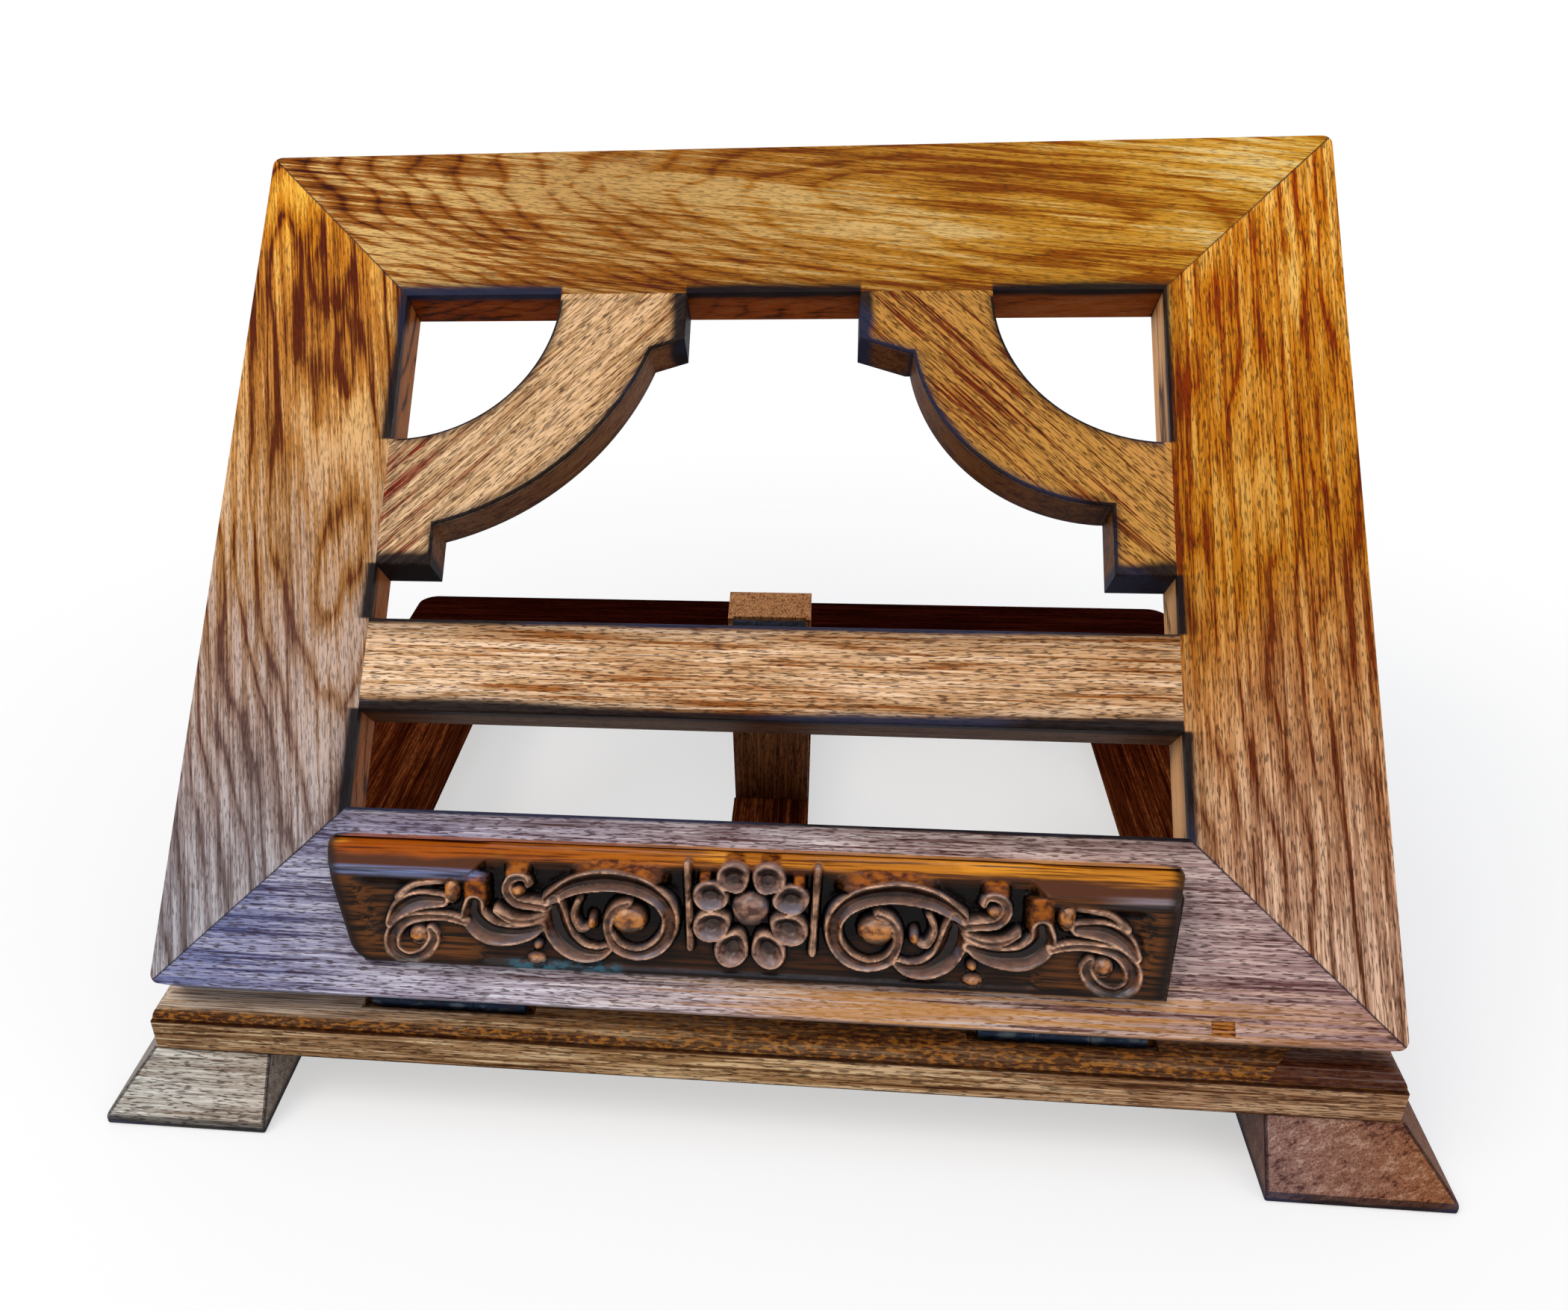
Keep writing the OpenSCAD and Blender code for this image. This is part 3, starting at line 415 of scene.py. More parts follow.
# Strokes of the carving's left half on the sloping face: across from the middle, up the face, half width
STROKES = [
    # Large volute
    [
        (-53.8, 20.1, 1.7), (-47.5, 24.4, 2.6), (-40.9, 26.2, 3.0), (-34.4, 26.3, 2.9), (-27.9, 24.7, 2.8),
        (-23.0, 21.2, 2.4), (-20.6, 16.5, 2.2), (-21.3, 11.1, 2.0), (-24.8, 6.9, 1.9), (-29.7, 5.3, 1.6),
        (-34.7, 6.8, 1.5), (-37.2, 10.7, 1.2), (-37.4, 14.7, 1.2), (-35.3, 18.4, 1.1), (-32.0, 20.1, 1.0),
    ],
    # Lobe beside the volute and the small curl inside it
    [
        (-52.1, 19.8, 1.8), (-52.1, 15.8, 3.3), (-51.5, 12.2, 3.8), (-49.2, 7.8, 3.5), (-45.1, 5.1, 2.8),
        (-40.5, 4.9, 2.0), (-37.6, 6.4, 1.2),
    ],
    [(-45.5, 20.1, 0.7), (-46.9, 16.0, 0.7), (-45.3, 12.1, 0.7), (-43.2, 12.2, 0.6)],
    # Upper curl
    [
        (-54.3, 17.9, 1.2), (-58.4, 18.3, 1.3), (-63.0, 19.2, 1.4), (-65.2, 22.7, 1.3), (-63.5, 26.0, 1.2),
        (-60.2, 26.5, 0.9), (-59.2, 24.3, 0.7),
    ],
    # Leaf that sweeps down and its second rim
    [
        (-74.3, 18.1, 2.5), (-74.5, 13.7, 3.5), (-70.5, 9.9, 3.6), (-64.6, 9.3, 3.0), (-59.5, 10.4, 2.3),
        (-55.7, 12.4, 1.2),
    ],
    [(-68.5, 16.3, 0.7), (-64.4, 13.8, 1.0), (-59.4, 13.6, 1.0), (-54.8, 15.6, 0.8)],
    # Outer curl, the leaf over it and that leaf's thin rim
    [
        (-77.1, 12.5, 1.0), (-82.1, 13.7, 1.1), (-88.1, 13.6, 1.2), (-94.1, 12.0, 1.6), (-97.8, 7.8, 2.0),
        (-97.7, 3.2, 1.9), (-93.8, 1.0, 1.6), (-89.1, 2.6, 1.5), (-86.2, 6.8, 1.5), (-87.0, 9.9, 1.0),
    ],
    [(-83.5, 18.7, 1.9), (-90.4, 18.2, 2.7), (-95.5, 15.4, 2.2), (-98.5, 11.1, 1.2)],
    [(-96.1, 18.8, 0.5), (-90.9, 23.0, 0.6), (-83.2, 24.4, 0.5)],
    # Upright bead beside the flower
    [(-15.1, 7.9, 0.7), (-16.1, 32.4, 0.6)],
]
# Raised knobs of the left half: across, up, half width, half height
KNOBS = [
    (-31.7, 15.0, 4.4, 3.9), (-62.0, 22.4, 1.6, 1.6), (-80.4, 21.7, 1.9, 3.4), (-90.5, 8.0, 2.2, 2.4),
    (-41.8, 13.8, 1.0, 1.7), (-57.0, 6.5, 1.0, 1.0), (-57.4, 2.4, 2.3, 1.6),
]
# Uncarved wood left standing above the scrolls: from and to across, from and to up
HOODS = [
    (-78.4, -69.6, 17.0, 28.0), (-82.4, -78.4, 23.0, 26.5), (-66.8, -58.2, 26.0, 32.0), (-50.0, -19.0, 26.0, 33.5),
    (-13.4, -9.2, 24.0, 31.5), (-8.0, 0.9, 28.0, 36.0),
]
# The right half is the left half mirrored about a place a little to the right of the middle
MIRROR_SUM = 2.5
FLOWER = (1.0, 20.0)
# Petals of the flower's left half: across and up from its middle, half length
PETALS = [(-4.6, 8.7, 4.3), (-10.6, 3.2, 4.8), (-10.2, -5.4, 5.2), (-4.8, -11.8, 5.4)]

# Camera that stands where the photo was taken
CAMERA_AT = Vector((0.0171, -0.4164, 0.3018))
CAMERA_RIGHT = Vector((0.9926, 0.1161, -0.0354))
CAMERA_DOWN = Vector((0.0269, -0.4948, -0.8686))
CAMERA_AHEAD = Vector((-0.1184, 0.8612, -0.4943))
CAMERA_LENS = 30.885
CAMERA_SHIFT = (0.0813, 0.0283)


# Nodes and materials

# Setting of a node that the second word of its kind stands for
CHOICES = {"Math": "operation", "VectorMath": "operation", "MapRange": "interpolation_type", "Mix": "data_type"}


def add(tree, kind, links=(), stops=(), **settings):
    """Adds a node, sets it up, feeds its inputs with values or other nodes' outputs, and returns its output.

    The kind is Blender's name for the node without ShaderNode, followed by what it does where it has a choice.
    The links are named after the inputs, or stand in the order of the inputs in use. Three numbers are enough for
    a colour.
    """
    kind, _, choice = kind.partition(" ")
    node = tree.nodes.new("ShaderNode" + kind)
    if choice:
        setattr(node, CHOICES[kind], choice)
    for name, value in settings.items():
        setattr(node, name, value)
    inputs = [socket for socket in node.inputs if socket.enabled]
    for key, value in links.items() if isinstance(links, dict) else enumerate(links):
        socket = inputs[key] if isinstance(key, int) else next(s for s in inputs if s.name == key)
        if isinstance(value, bpy.types.NodeSocket):
            tree.links.new(value, socket)
        elif socket.type == "RGBA":
            socket.default_value = (*value[:3], 1)
        else:
            socket.default_value = value
    if stops:
        elements = node.color_ramp.elements
        while len(elements) < len(stops):
            elements.new(0.5)
        for element, (place, value) in zip(elements, stops):
            element.position = place
            element.color = (*value, 1)
    return next((o for o in node.outputs if o.enabled), None)


def new_material(name):
    material = bpy.data.materials.new(name)
    material.use_nodes = True
    material.node_tree.nodes.clear()
    return material


def grey(value):
    return (value, value, value)


# Location and turn of the frames in which the grain runs
PLACES = {
    "desk": (AXIS * MM, (math.radians(DESK_TILT), 0, 0)),
    "base": (Vector((0, 0, 0)), (0, 0, 0)),
    "prop": (PROP_PIN * MM, (math.radians(-PROP_LEAN), 0, 0)),
}


def millimetres(tree, place):
    """Object coordinates in the piece's own frame, in millimetres."""
    at, turn = PLACES[place]
    coordinates = add(tree, "TexCoord").node.outputs["Object"]
    local = add(tree, "Mapping", {"Vector": coordinates, "Location": at, "Rotation": turn}, vector_type="TEXTURE")
    return add(tree, "VectorMath SCALE", (local, 1 / MM))


def streaks(tree, vector, size, detail, seed=0.0, short=1.0):
    """Noise stretched along the grain, of that size in millimetres along it and across it, or so much shorter."""
    along, across = size
    scale = (1 / (along * short), 1 / across, 1 / across)
    scaled = add(tree, "Mapping", {"Vector": vector, "Location": (seed, seed, seed), "Scale": scale})
    return add(tree, "TexNoise", {"Vector": scaled, "Scale": 1.0, "Detail": detail, "Roughness": 0.55})


def distance(tree, value, place):
    """How far a value lies from a place, on either side of it."""
    return add(tree, "Math ABSOLUTE", (add(tree, "Math SUBTRACT", (value, place)),))


def within(tree, *ranges):
    """Share that is 1 where every range is full: each has a value, its start and end, and its shares there."""
    share = 1.0
    for value, *limits in ranges:
        share = add(tree, "Math MULTIPLY", (share, add(tree, "MapRange SMOOTHSTEP", (value, *limits))))
    return share


def arris_burn(tree, parts, look, ragged, soft_width):
    """Burnt and scorched stripes along the front arrises, left out where another board is joined on."""
    burn, scorch = 0.0, 0.0
    for axis, place, width in look["arrises"]:
        across = add(tree, "Math ABSOLUTE", (parts[0],))
        side, along = (across, parts[1]) if axis == 0 else (parts[1], across)
        off = add(tree, "CombineXYZ", {
            "X": add(tree, "Math SUBTRACT", (side, place)), "Y": add(tree, "Math SUBTRACT", (parts[2], DESK_T))
        })
        reach = add(tree, "VectorMath LENGTH", (off,))
        ragged_reach = add(tree, "Math MULTIPLY_ADD", (ragged, -2.2 * width, reach))
        stripe = add(tree, "MapRange SMOOTHSTEP", (ragged_reach, width * 0.4, -0.5 * width))
        soft_reach = add(tree, "Math MULTIPLY_ADD", (ragged, -soft_width, reach))
        soft = add(tree, "MapRange SMOOTHSTEP", (soft_reach, soft_width * 0.5, -soft_width * 0.5))
        for low, high in look.get("joins", []):
            off = distance(tree, along, (low + high) / 2)
            free = add(tree, "MapRange SMOOTHSTEP", (off, (high - low) / 2 - 0.8, (high - low) / 2 + 0.2))
            stripe = add(tree, "Math MULTIPLY", (stripe, free))
            soft = add(tree, "Math MULTIPLY", (soft, add(tree, "Math MULTIPLY_ADD", (free, 0.7, 0.3))))
        burn = add(tree, "Math MAXIMUM", (burn, stripe))
        scorch = add(tree, "Math MAXIMUM", (scorch, soft))
    return burn, scorch


def window_wall(tree, parts, arrises):
    """1 on the faces across the board's thickness that look into the window, 0 on its front."""
    inside = 0.0
    for axis, place, _ in arrises:
        side = add(tree, "Math ABSOLUTE", (parts[0],)) if axis == 0 else parts[1]
        off = distance(tree, side, place)
        inside = add(tree, "Math MAXIMUM", (inside, add(tree, "MapRange SMOOTHSTEP", (off, 1.2, 0.4))))
    return add(tree, "Math MULTIPLY", (
        inside, add(tree, "MapRange SMOOTHSTEP", (parts[2], DESK_T - 0.8, DESK_T - 2.0))
    ))


def mitre_line(tree, parts, top, ragged):
    """Thin dark line of the mitre: 1 on the line."""
    outer, inner = (DESK_H, WINDOW_TOP) if top else (0.0, BOTTOM_RAIL)
    run = Vector((WINDOW_X - HALF_W, inner - outer)).normalized()
    side = add(tree, "CombineXYZ", {"X": add(tree, "Math ABSOLUTE", (parts[0],)), "Y": parts[1]})
    across = Vector((run.y, -run.x, 0))
    place = add(tree, "VectorMath DOT_PRODUCT", (side, across))
    start = across.dot(Vector((HALF_W, outer, 0)))
    off = distance(tree, place, start)
    line = add(tree, "MapRange SMOOTHSTEP", (off, 0.4, 0.1))
    return add(tree, "Math MULTIPLY", (line, add(tree, "MapRange SMOOTHSTEP", (ragged, 0.25, 0.6, 0.3, 0.9))))


def grain_noises(tree, grain, short, seed):
    """Noises along the grain: a slow waver, fibres, strands and clouds."""
    return (
        streaks(tree, grain, WAVER, 2.5, seed),
        streaks(tree, grain, FIBRE, 3, seed, short),
        streaks(tree, grain, STRAND, 2, seed + 7, short),
        streaks(tree, grain, CLOUD, 3, seed + 5, short),
    )


def wood_tone(tree, grain, look, noises):
    """Tone of the wood, from 0 where it is dark to 1 where it is light."""
    slow, *fine = noises
    # Growth rings are stretched ellipses round the heart, bent by a slow noise
    heart = add(
        tree,
        "Mapping",
        {"Vector": grain, "Location": look["heart"], "Scale": (look["stretch"], 1, 1)},
        vector_type="TEXTURE",
    )
    radius = add(tree, "VectorMath LENGTH", (heart,))
    radius = add(tree, "Math MULTIPLY_ADD", (slow, look["waver"], radius))
    rings = add(tree, "Math FRACT", (add(tree, "Math DIVIDE", (radius, look["ring"])),))
    bands = add(
        tree,
        "ValToRGB",
        {"Fac": rings},
        stops=[(0.0, grey(0.1)), (0.14, grey(0.45)), (0.5, grey(0.75)), (0.85, grey(0.55)), (1.0, grey(0.1))],
    )
    weights = (look["figure"], *look["fibre"][:2], look["cloud"])
    tone = 0.5 - 0.5 * sum(weights)
    for value, weight in zip((bands, *fine), weights):
        tone = add(tree, "Math MULTIPLY_ADD", (value, weight, tone))
    return tone


def pore_dots(tree, grain, look, sizes, seed):
    """Share of the pores, which are drawn about twice their real width so that they show."""
    pore = (sizes.pore_length / MM, sizes.pore_width / MM)
    short_ones = streaks(tree, grain, pore, 1, seed, look["short"])
    long_ones = streaks(tree, grain, (3 * pore[0], 1.6 * pore[1]), 2, seed + 3, look["short"])
    share = look["fibre"][2]
    return add(tree, "Math MAXIMUM", (
        add(tree, "MapRange SMOOTHSTEP", (short_ones, 0.53, 0.63, 0.0, 0.75 * share)),
        add(tree, "MapRange SMOOTHSTEP", (long_ones, 0.57, 0.68, 0.0, 0.6 * share)),
    ))


def wood_colour(tree, value, cloud, tone, stops):
    """Dark, middle or light wood by its tone, each blended between the stops along the board."""
    first, last = stops[0][0], stops[-1][0]
    along = add(tree, "MapRange", {"Value": value, "From Min": first, "From Max": last})
    along = add(tree, "Math MULTIPLY_ADD", (add(tree, "Math SUBTRACT", (cloud, 0.5)), 0.35, along))
    shades = []
    for shade in (1, 2, 3):
        ramp = [((stop[0] - first) / (last - first), linear(stop[shade])) for stop in stops]
        shades.append(add(tree, "ValToRGB", {"Fac": along}, stops=ramp))
    low = add(tree, "MapRange SMOOTHSTEP", (tone, 0.0, 0.5))
    high = add(tree, "MapRange SMOOTHSTEP", (tone, 0.5, 1.0))
    return add(tree, "Mix RGBA", (high, add(tree, "Mix RGBA", (low, shades[0], shades[1])), shades[2]))


def outline_burn(tree, parts, cloud, reach):
    """Burnt and scorched outline of a bracket, none where it meets the frame and much of it at the toes."""
    rounded = add(tree, "Bevel", {"Radius": reach}, samples=6)
    normal = add(tree, "NewGeometry").node.outputs["Normal"]
    turned = add(tree, "VectorMath DOT_PRODUCT", (rounded, normal))
    turned = add(tree, "Math MULTIPLY_ADD", (cloud, -0.1, add(tree, "Math ADD", (turned, 0.05))))
    arris = add(tree, "Attribute", attribute_name="arris").node.outputs["Fac"]
    burn = add(tree, "Math MAXIMUM", (add(tree, "MapRange SMOOTHSTEP", (turned, 0.93, 0.8)), arris))
    scorch = add(tree, "MapRange SMOOTHSTEP", (turned, 0.995, 0.86))
    across = add(tree, "Math ABSOLUTE", (parts[0],))
    for side, end in ((across, WINDOW_X), (parts[1], WINDOW_TOP)):
        free = add(tree, "MapRange SMOOTHSTEP", (side, end - 1.2, end - 2.6))
        burn = add(tree, "Math MULTIPLY", (burn, free))
        scorch = add(tree, "Math MULTIPLY", (scorch, free))
    for side, end in ((across, BRACKET_ON_RAIL[0]), (parts[1], BRACKET_ON_STILE[0])):
        toe = add(tree, "Math MULTIPLY_ADD", (cloud, -8.0, side))
        toe = add(tree, "MapRange SMOOTHSTEP", (toe, end + 1.5, end - 1.5))
        burn = add(tree, "Math MAXIMUM", (burn, toe))
    return burn, scorch


def moulding_layers(tree, position, parts, noises, seed, look, colours):
    """Layers over the base's moulding: varnish that glows in places, painted shade in its groove and a painted
    highlight on its crest.
    """
    _, fibre, _, cloud = noises
    # Dark varnish stands in the pores of the moulding's lower half and glows orange between them
    fleck = streaks(tree, position, FLECK, 2, seed + 1)
    glow = add(tree, "MapRange SMOOTHSTEP", (fleck, 0.47, 0.64, 0.0, look["moulded"]))
    glow = add(tree, "Mix RGBA", (glow, colours.moulding, colours.moulding_glow))
    dark = add(tree, "Math MAXIMUM", (
        add(tree, "MapRange SMOOTHSTEP", (parts[0], -90.0, 10.0, 0.0, 0.85)),
        add(tree, "MapRange SMOOTHSTEP", (parts[2], CREST_Z, CREST_Z - 1.8)),
    ))
    dark = add(tree, "Math MULTIPLY", (
        dark, add(tree, "MapRange SMOOTHSTEP", (parts[2], GROOVE_Z - 0.6, GROOVE_Z, 0.0, 0.8))
    ))
    # Painted shade fills the groove under the moulding and darkens the board's lower edge
    groove_shade = add(tree, "Math MAXIMUM", (
        add(tree, "MapRange SMOOTHSTEP", (distance(tree, parts[2], GROOVE_Z), 0.75, 0.25)),
        add(tree, "MapRange SMOOTHSTEP", (parts[2], FOOT_H + 1.3, FOOT_H + 0.5)),
    ))
    groove_shade = add(tree, "Math MULTIPLY", (groove_shade, add(tree, "MapRange SMOOTHSTEP", (cloud, 0.3, 0.5, 0.35, 0.85))))
    # A pale painted highlight lies on the crest at the base's left end
    crest, left = (parts[2], CREST_Z - 1.2, CREST_Z), (parts[0], -60.0, -150.0)
    painted_gleam = within(tree, crest, left, (fibre, 0.4, 0.6, 0.15, 0.8))
    return [(dark, glow), (groove_shade, colours.pore), (painted_gleam, colours.crest_painted_highlight)]


def wood(name, kind, sizes, colours):
    """Open-grained wood whose tone changes along the board, with dark pores, burnt edges and varnish."""
    look = {**PLAIN_WOOD, **WOODS[kind]}
    material = new_material(name)
    tree = material.node_tree
    seed = 17.0 * list(WOODS).index(kind)
    position = millimetres(tree, look["place"])
    split = add(tree, "SeparateXYZ", {"Vector": position}).node.outputs
    parts = [split["X"], split["Y"], split["Z"]]
    grain = add(tree, "Mapping", {
        "Vector": position, "Rotation": (0, math.radians(look["dive"]), -math.radians(look["grain"]))
    })

    noises = grain_noises(tree, grain, look["short"], seed)
    slow, fibre, strand, cloud = noises
    tone = wood_tone(tree, grain, look, noises)
    base = wood_colour(tree, parts[look["axis"]], cloud, tone, look["stops"])
    dots = pore_dots(tree, grain, look, sizes, seed)
    layers = [(dots, colours.pore)]

    burn, scorch, wall = 0.0, 0.0, 0.0
    if "arrises" in look:
        burn, scorch = arris_burn(tree, parts, look, cloud, sizes.soft_burn / MM)
        wall = window_wall(tree, parts, look["arrises"])
        for top in look.get("mitres", []):
            burn = add(tree, "Math MAXIMUM", (burn, mitre_line(tree, parts, top, cloud)))
    if look.get("edges"):
        burn, scorch = outline_burn(tree, parts, cloud, sizes.bracket_burn)
        wall = add(tree, "MapRange SMOOTHSTEP", (parts[2], DESK_T - 0.5, DESK_T - 1.5))
    if look.get("moulded"):
        layers += moulding_layers(tree, position, parts, noises, seed, look, colours)
    if look.get("warm"):
        # The varnish is orange-brown along the rail's lower edge
        start, end = (parts[0], -70.0, 30.0), (parts[0], 165.0, 100.0, 0.35, 1.0)
        warm = within(tree, (parts[1], 17.0, 7.0), start, end, (strand, 0.4, 0.6, 0.05, 0.8))
        layers.append((warm, linear(look["warm"])))
    if look.get("sole"):
        # Brown on the faces across the foot, dark at its sole and along its edges
        facing = add(tree, "TexCoord").node.outputs["Normal"]
        facing = add(tree, "SeparateXYZ", {"Vector": facing}).node.outputs["X"]
        across = add(tree, "MapRange SMOOTHSTEP", (add(tree, "Math ABSOLUTE", (facing,)), 0.4, 0.8, 0.0, 0.55))
        layers.append((across, colours.moulding))
        burn = add(tree, "MapRange SMOOTHSTEP", (
            add(tree, "Math MULTIPLY_ADD", (cloud, -3.0, parts[2])), 2.4, -0.2
        ))
        arris = add(tree, "Attribute", attribute_name="arris").node.outputs["Fac"]
        burn = add(tree, "Math MAXIMUM", (burn, add(tree, "Math MULTIPLY", (arris, 0.75))))
    if "wall" in look:
        stain = add(tree, "Mix RGBA", (
            add(tree, "MapRange SMOOTHSTEP", (tone, -0.1, 0.6)), colours.scorch, linear(look["wall"])
        ))
        layers.append((add(tree, "Math MULTIPLY", (wall, 0.85)), stain))
    # A painted blue reflection of the sky lies on parts of the burnt edges
    shine = add(tree, "MapRange SMOOTHSTEP", (slow, 0.5, 0.6, 0.0, 0.5))
    burnt = add(tree, "Mix RGBA", (shine, colours.burn, colours.burn_painted_reflection))
    layers.append((add(tree, "Math MULTIPLY", (scorch, 0.5)), colours.scorch))
    layers.append((add(tree, "Math MULTIPLY", (burn, 0.95)), burnt))
    for share, tint in layers:
        base = add(tree, "Mix RGBA", (share, base, tint))

    height = add(tree, "Math MULTIPLY_ADD", (dots, -1.0, add(tree, "Math MULTIPLY", (fibre, 0.6))))
    bump = add(tree, "Bump", {"Height": height, "Strength": 0.35, "Distance": 0.25 * MM})
    shader = add(tree, "BsdfPrincipled", {
        "Base Color": base,
        "Roughness": add(tree, "MapRange SMOOTHSTEP", (fibre, 0.3, 0.7, 0.42, 0.58)),
        "Normal": bump,
        "Specular IOR Level": look["gloss"],
    })
    add(tree, "OutputMaterial", {"Surface": shader})
    return material


def carved_tones(tree, parts, read, fibre, blotch, colours):
    """Colours of the ground with its scrolls and flower, of the uncarved wood and of the knobs."""
    streak = add(tree, "MapRange SMOOTHSTEP", (fibre, 0.36, 0.64))
    patchy = add(tree, "MapRange SMOOTHSTEP", (blotch, 0.35, 0.65))
    outer = add(tree, "MapRange SMOOTHSTEP", (add(tree, "Math ABSOLUTE", (parts["X"],)), 66.0, 80.0))
    pale = add(tree, "Mix RGBA", (outer, colours.ground_light, colours.ground_end))
    ground = add(tree, "Mix RGBA", (streak, colours.ground, pale))
    tones = []
    for dark, light in (
        (colours.relief_dark, colours.relief), (colours.petal_dark, colours.petal),
        (colours.band_dark, colours.hood), (colours.knob_dark, colours.knob),
    ):
        tones.append(add(tree, "Mix RGBA", (patchy, dark, light)))
    scroll, petal, brown, amber = tones
    off = distance(tree, parts["X"], FLOWER[0])
    scroll = add(tree, "Mix RGBA", (add(tree, "MapRange SMOOTHSTEP", (off, 15.6, 14.4)), scroll, petal))
    body = add(tree, "Mix RGBA", (add(tree, "MapRange SMOOTHSTEP", (read["relief"], 0.3, 0.9)), ground, scroll))
    return body, brown, amber


def ledge_top(tree, parts, side, fibre, cloud, colours):
    """Orange of the ledge's rounded top, patched light and streaked dark, and brown where it turns to the nose."""
    orange = add(tree, "Mix RGBA", (side, colours.band_left, colours.band_right))
    light = add(tree, "MapRange SMOOTHSTEP", (cloud, 0.48, 0.66, 0.0, 0.85))
    orange = add(tree, "Mix RGBA", (light, orange, colours.band_light))
    streak = add(tree, "MapRange SMOOTHSTEP", (fibre, 0.52, 0.36, 0.0, 0.9))
    orange = add(tree, "Mix RGBA", (streak, orange, colours.band_dark))
    up = add(tree, "Math MULTIPLY_ADD", (cloud, -6.0, parts["Y"]))
    return add(tree, "Mix RGBA", (add(tree, "MapRange SMOOTHSTEP", (up, 33.6, 36.6)), colours.band_low, orange))


def painted_light_layers(tree, position, read, blotch, colours):
    """Painted shade darkens what looks down and painted light lightens what looks up; the rims are lightened
    unevenly, as rubbed wood with a painted highlight where they look up.
    """
    normal = add(tree, "TexCoord").node.outputs["Normal"]
    tilt = add(tree, "VectorMath DOT_PRODUCT", (normal, FACE_UP))
    broad = streaks(tree, position, (7, 5), 2, 6)
    # Painted shade on what looks down the face, and painted light on the relief where it looks up
    painted_down_shade = within(tree, (tilt, -0.05, -0.5, 0.0, 0.85), (read["band"], 0.5, 0.1))
    rubbed = add(tree, "Math MULTIPLY", (
        read["relief"], add(tree, "MapRange SMOOTHSTEP", (tilt, 0.2, 0.65, 0.0, 0.25))
    ))
    # The rims are light rubbed wood, with a painted highlight where they look up
    light = within(tree, (blotch, 0.34, 0.6, 0.35, 1.0), (broad, 0.4, 0.6, 0.3, 1.0), (tilt, -0.5, 0.2, 0.35, 1.0))
    light = add(tree, "Math MULTIPLY", (read["edge"], light))
    return [(painted_down_shade, colours.painted_shade_black), (rubbed, colours.rubbed), (light, colours.rim)]


def outer_layers(tree, parts, read, side, fibre, blotch, colours):
    """What lies round the carving: a painted highlight on the nose's ends, painted shade on the ends of the face,
    and painted shadow along the foot with a painted blue-green reflection on part of it.
    """
    # A cool painted highlight lies on the nose's ends, where it isn't carved
    nose = (distance(tree, parts["Y"], NOSE_SHINE), 1.9, 0.5)
    shine = within(tree, nose, (read["relief"], 0.4, 0.1), (fibre, 0.38, 0.58, 0.15, 0.75))
    ends = add(tree, "Math MAXIMUM", (
        add(tree, "MapRange SMOOTHSTEP", (parts["X"], -70.0, -75.0)),
        add(tree, "MapRange SMOOTHSTEP", (parts["X"], 88.0, 104.0)),
    ))
    shine = add(tree, "Math MULTIPLY", (shine, ends))
    cool = add(tree, "Mix RGBA", (side, colours.nose_left, colours.nose_right))
    # Painted shade darkens the face near its ends, where the rounded end is in shadow
    rim = add(tree, "Math MULTIPLY", (read["rim"], 0.9))

    # A painted shadow makes the foot black where it meets the rail, but for a patch with a painted blue-green
    # reflection
    foot = add(tree, "MapRange SMOOTHSTEP", (parts["Y"], LEDGE_FOOT + 2.2, LEDGE_FOOT + 0.6, 0.0, 0.85))
    spot = (distance(tree, parts["X"], GLEAM_X), 18.0, 13.0)
    painted_gleam = within(tree, spot, (parts["Y"], 12.6, 11.0), (blotch, 0.44, 0.56, 0.1, 0.7))
    return [(shine, cool), (rim, colours.ground), (foot, colours.painted_shade_black), (painted_gleam, colours.painted_gleam)]


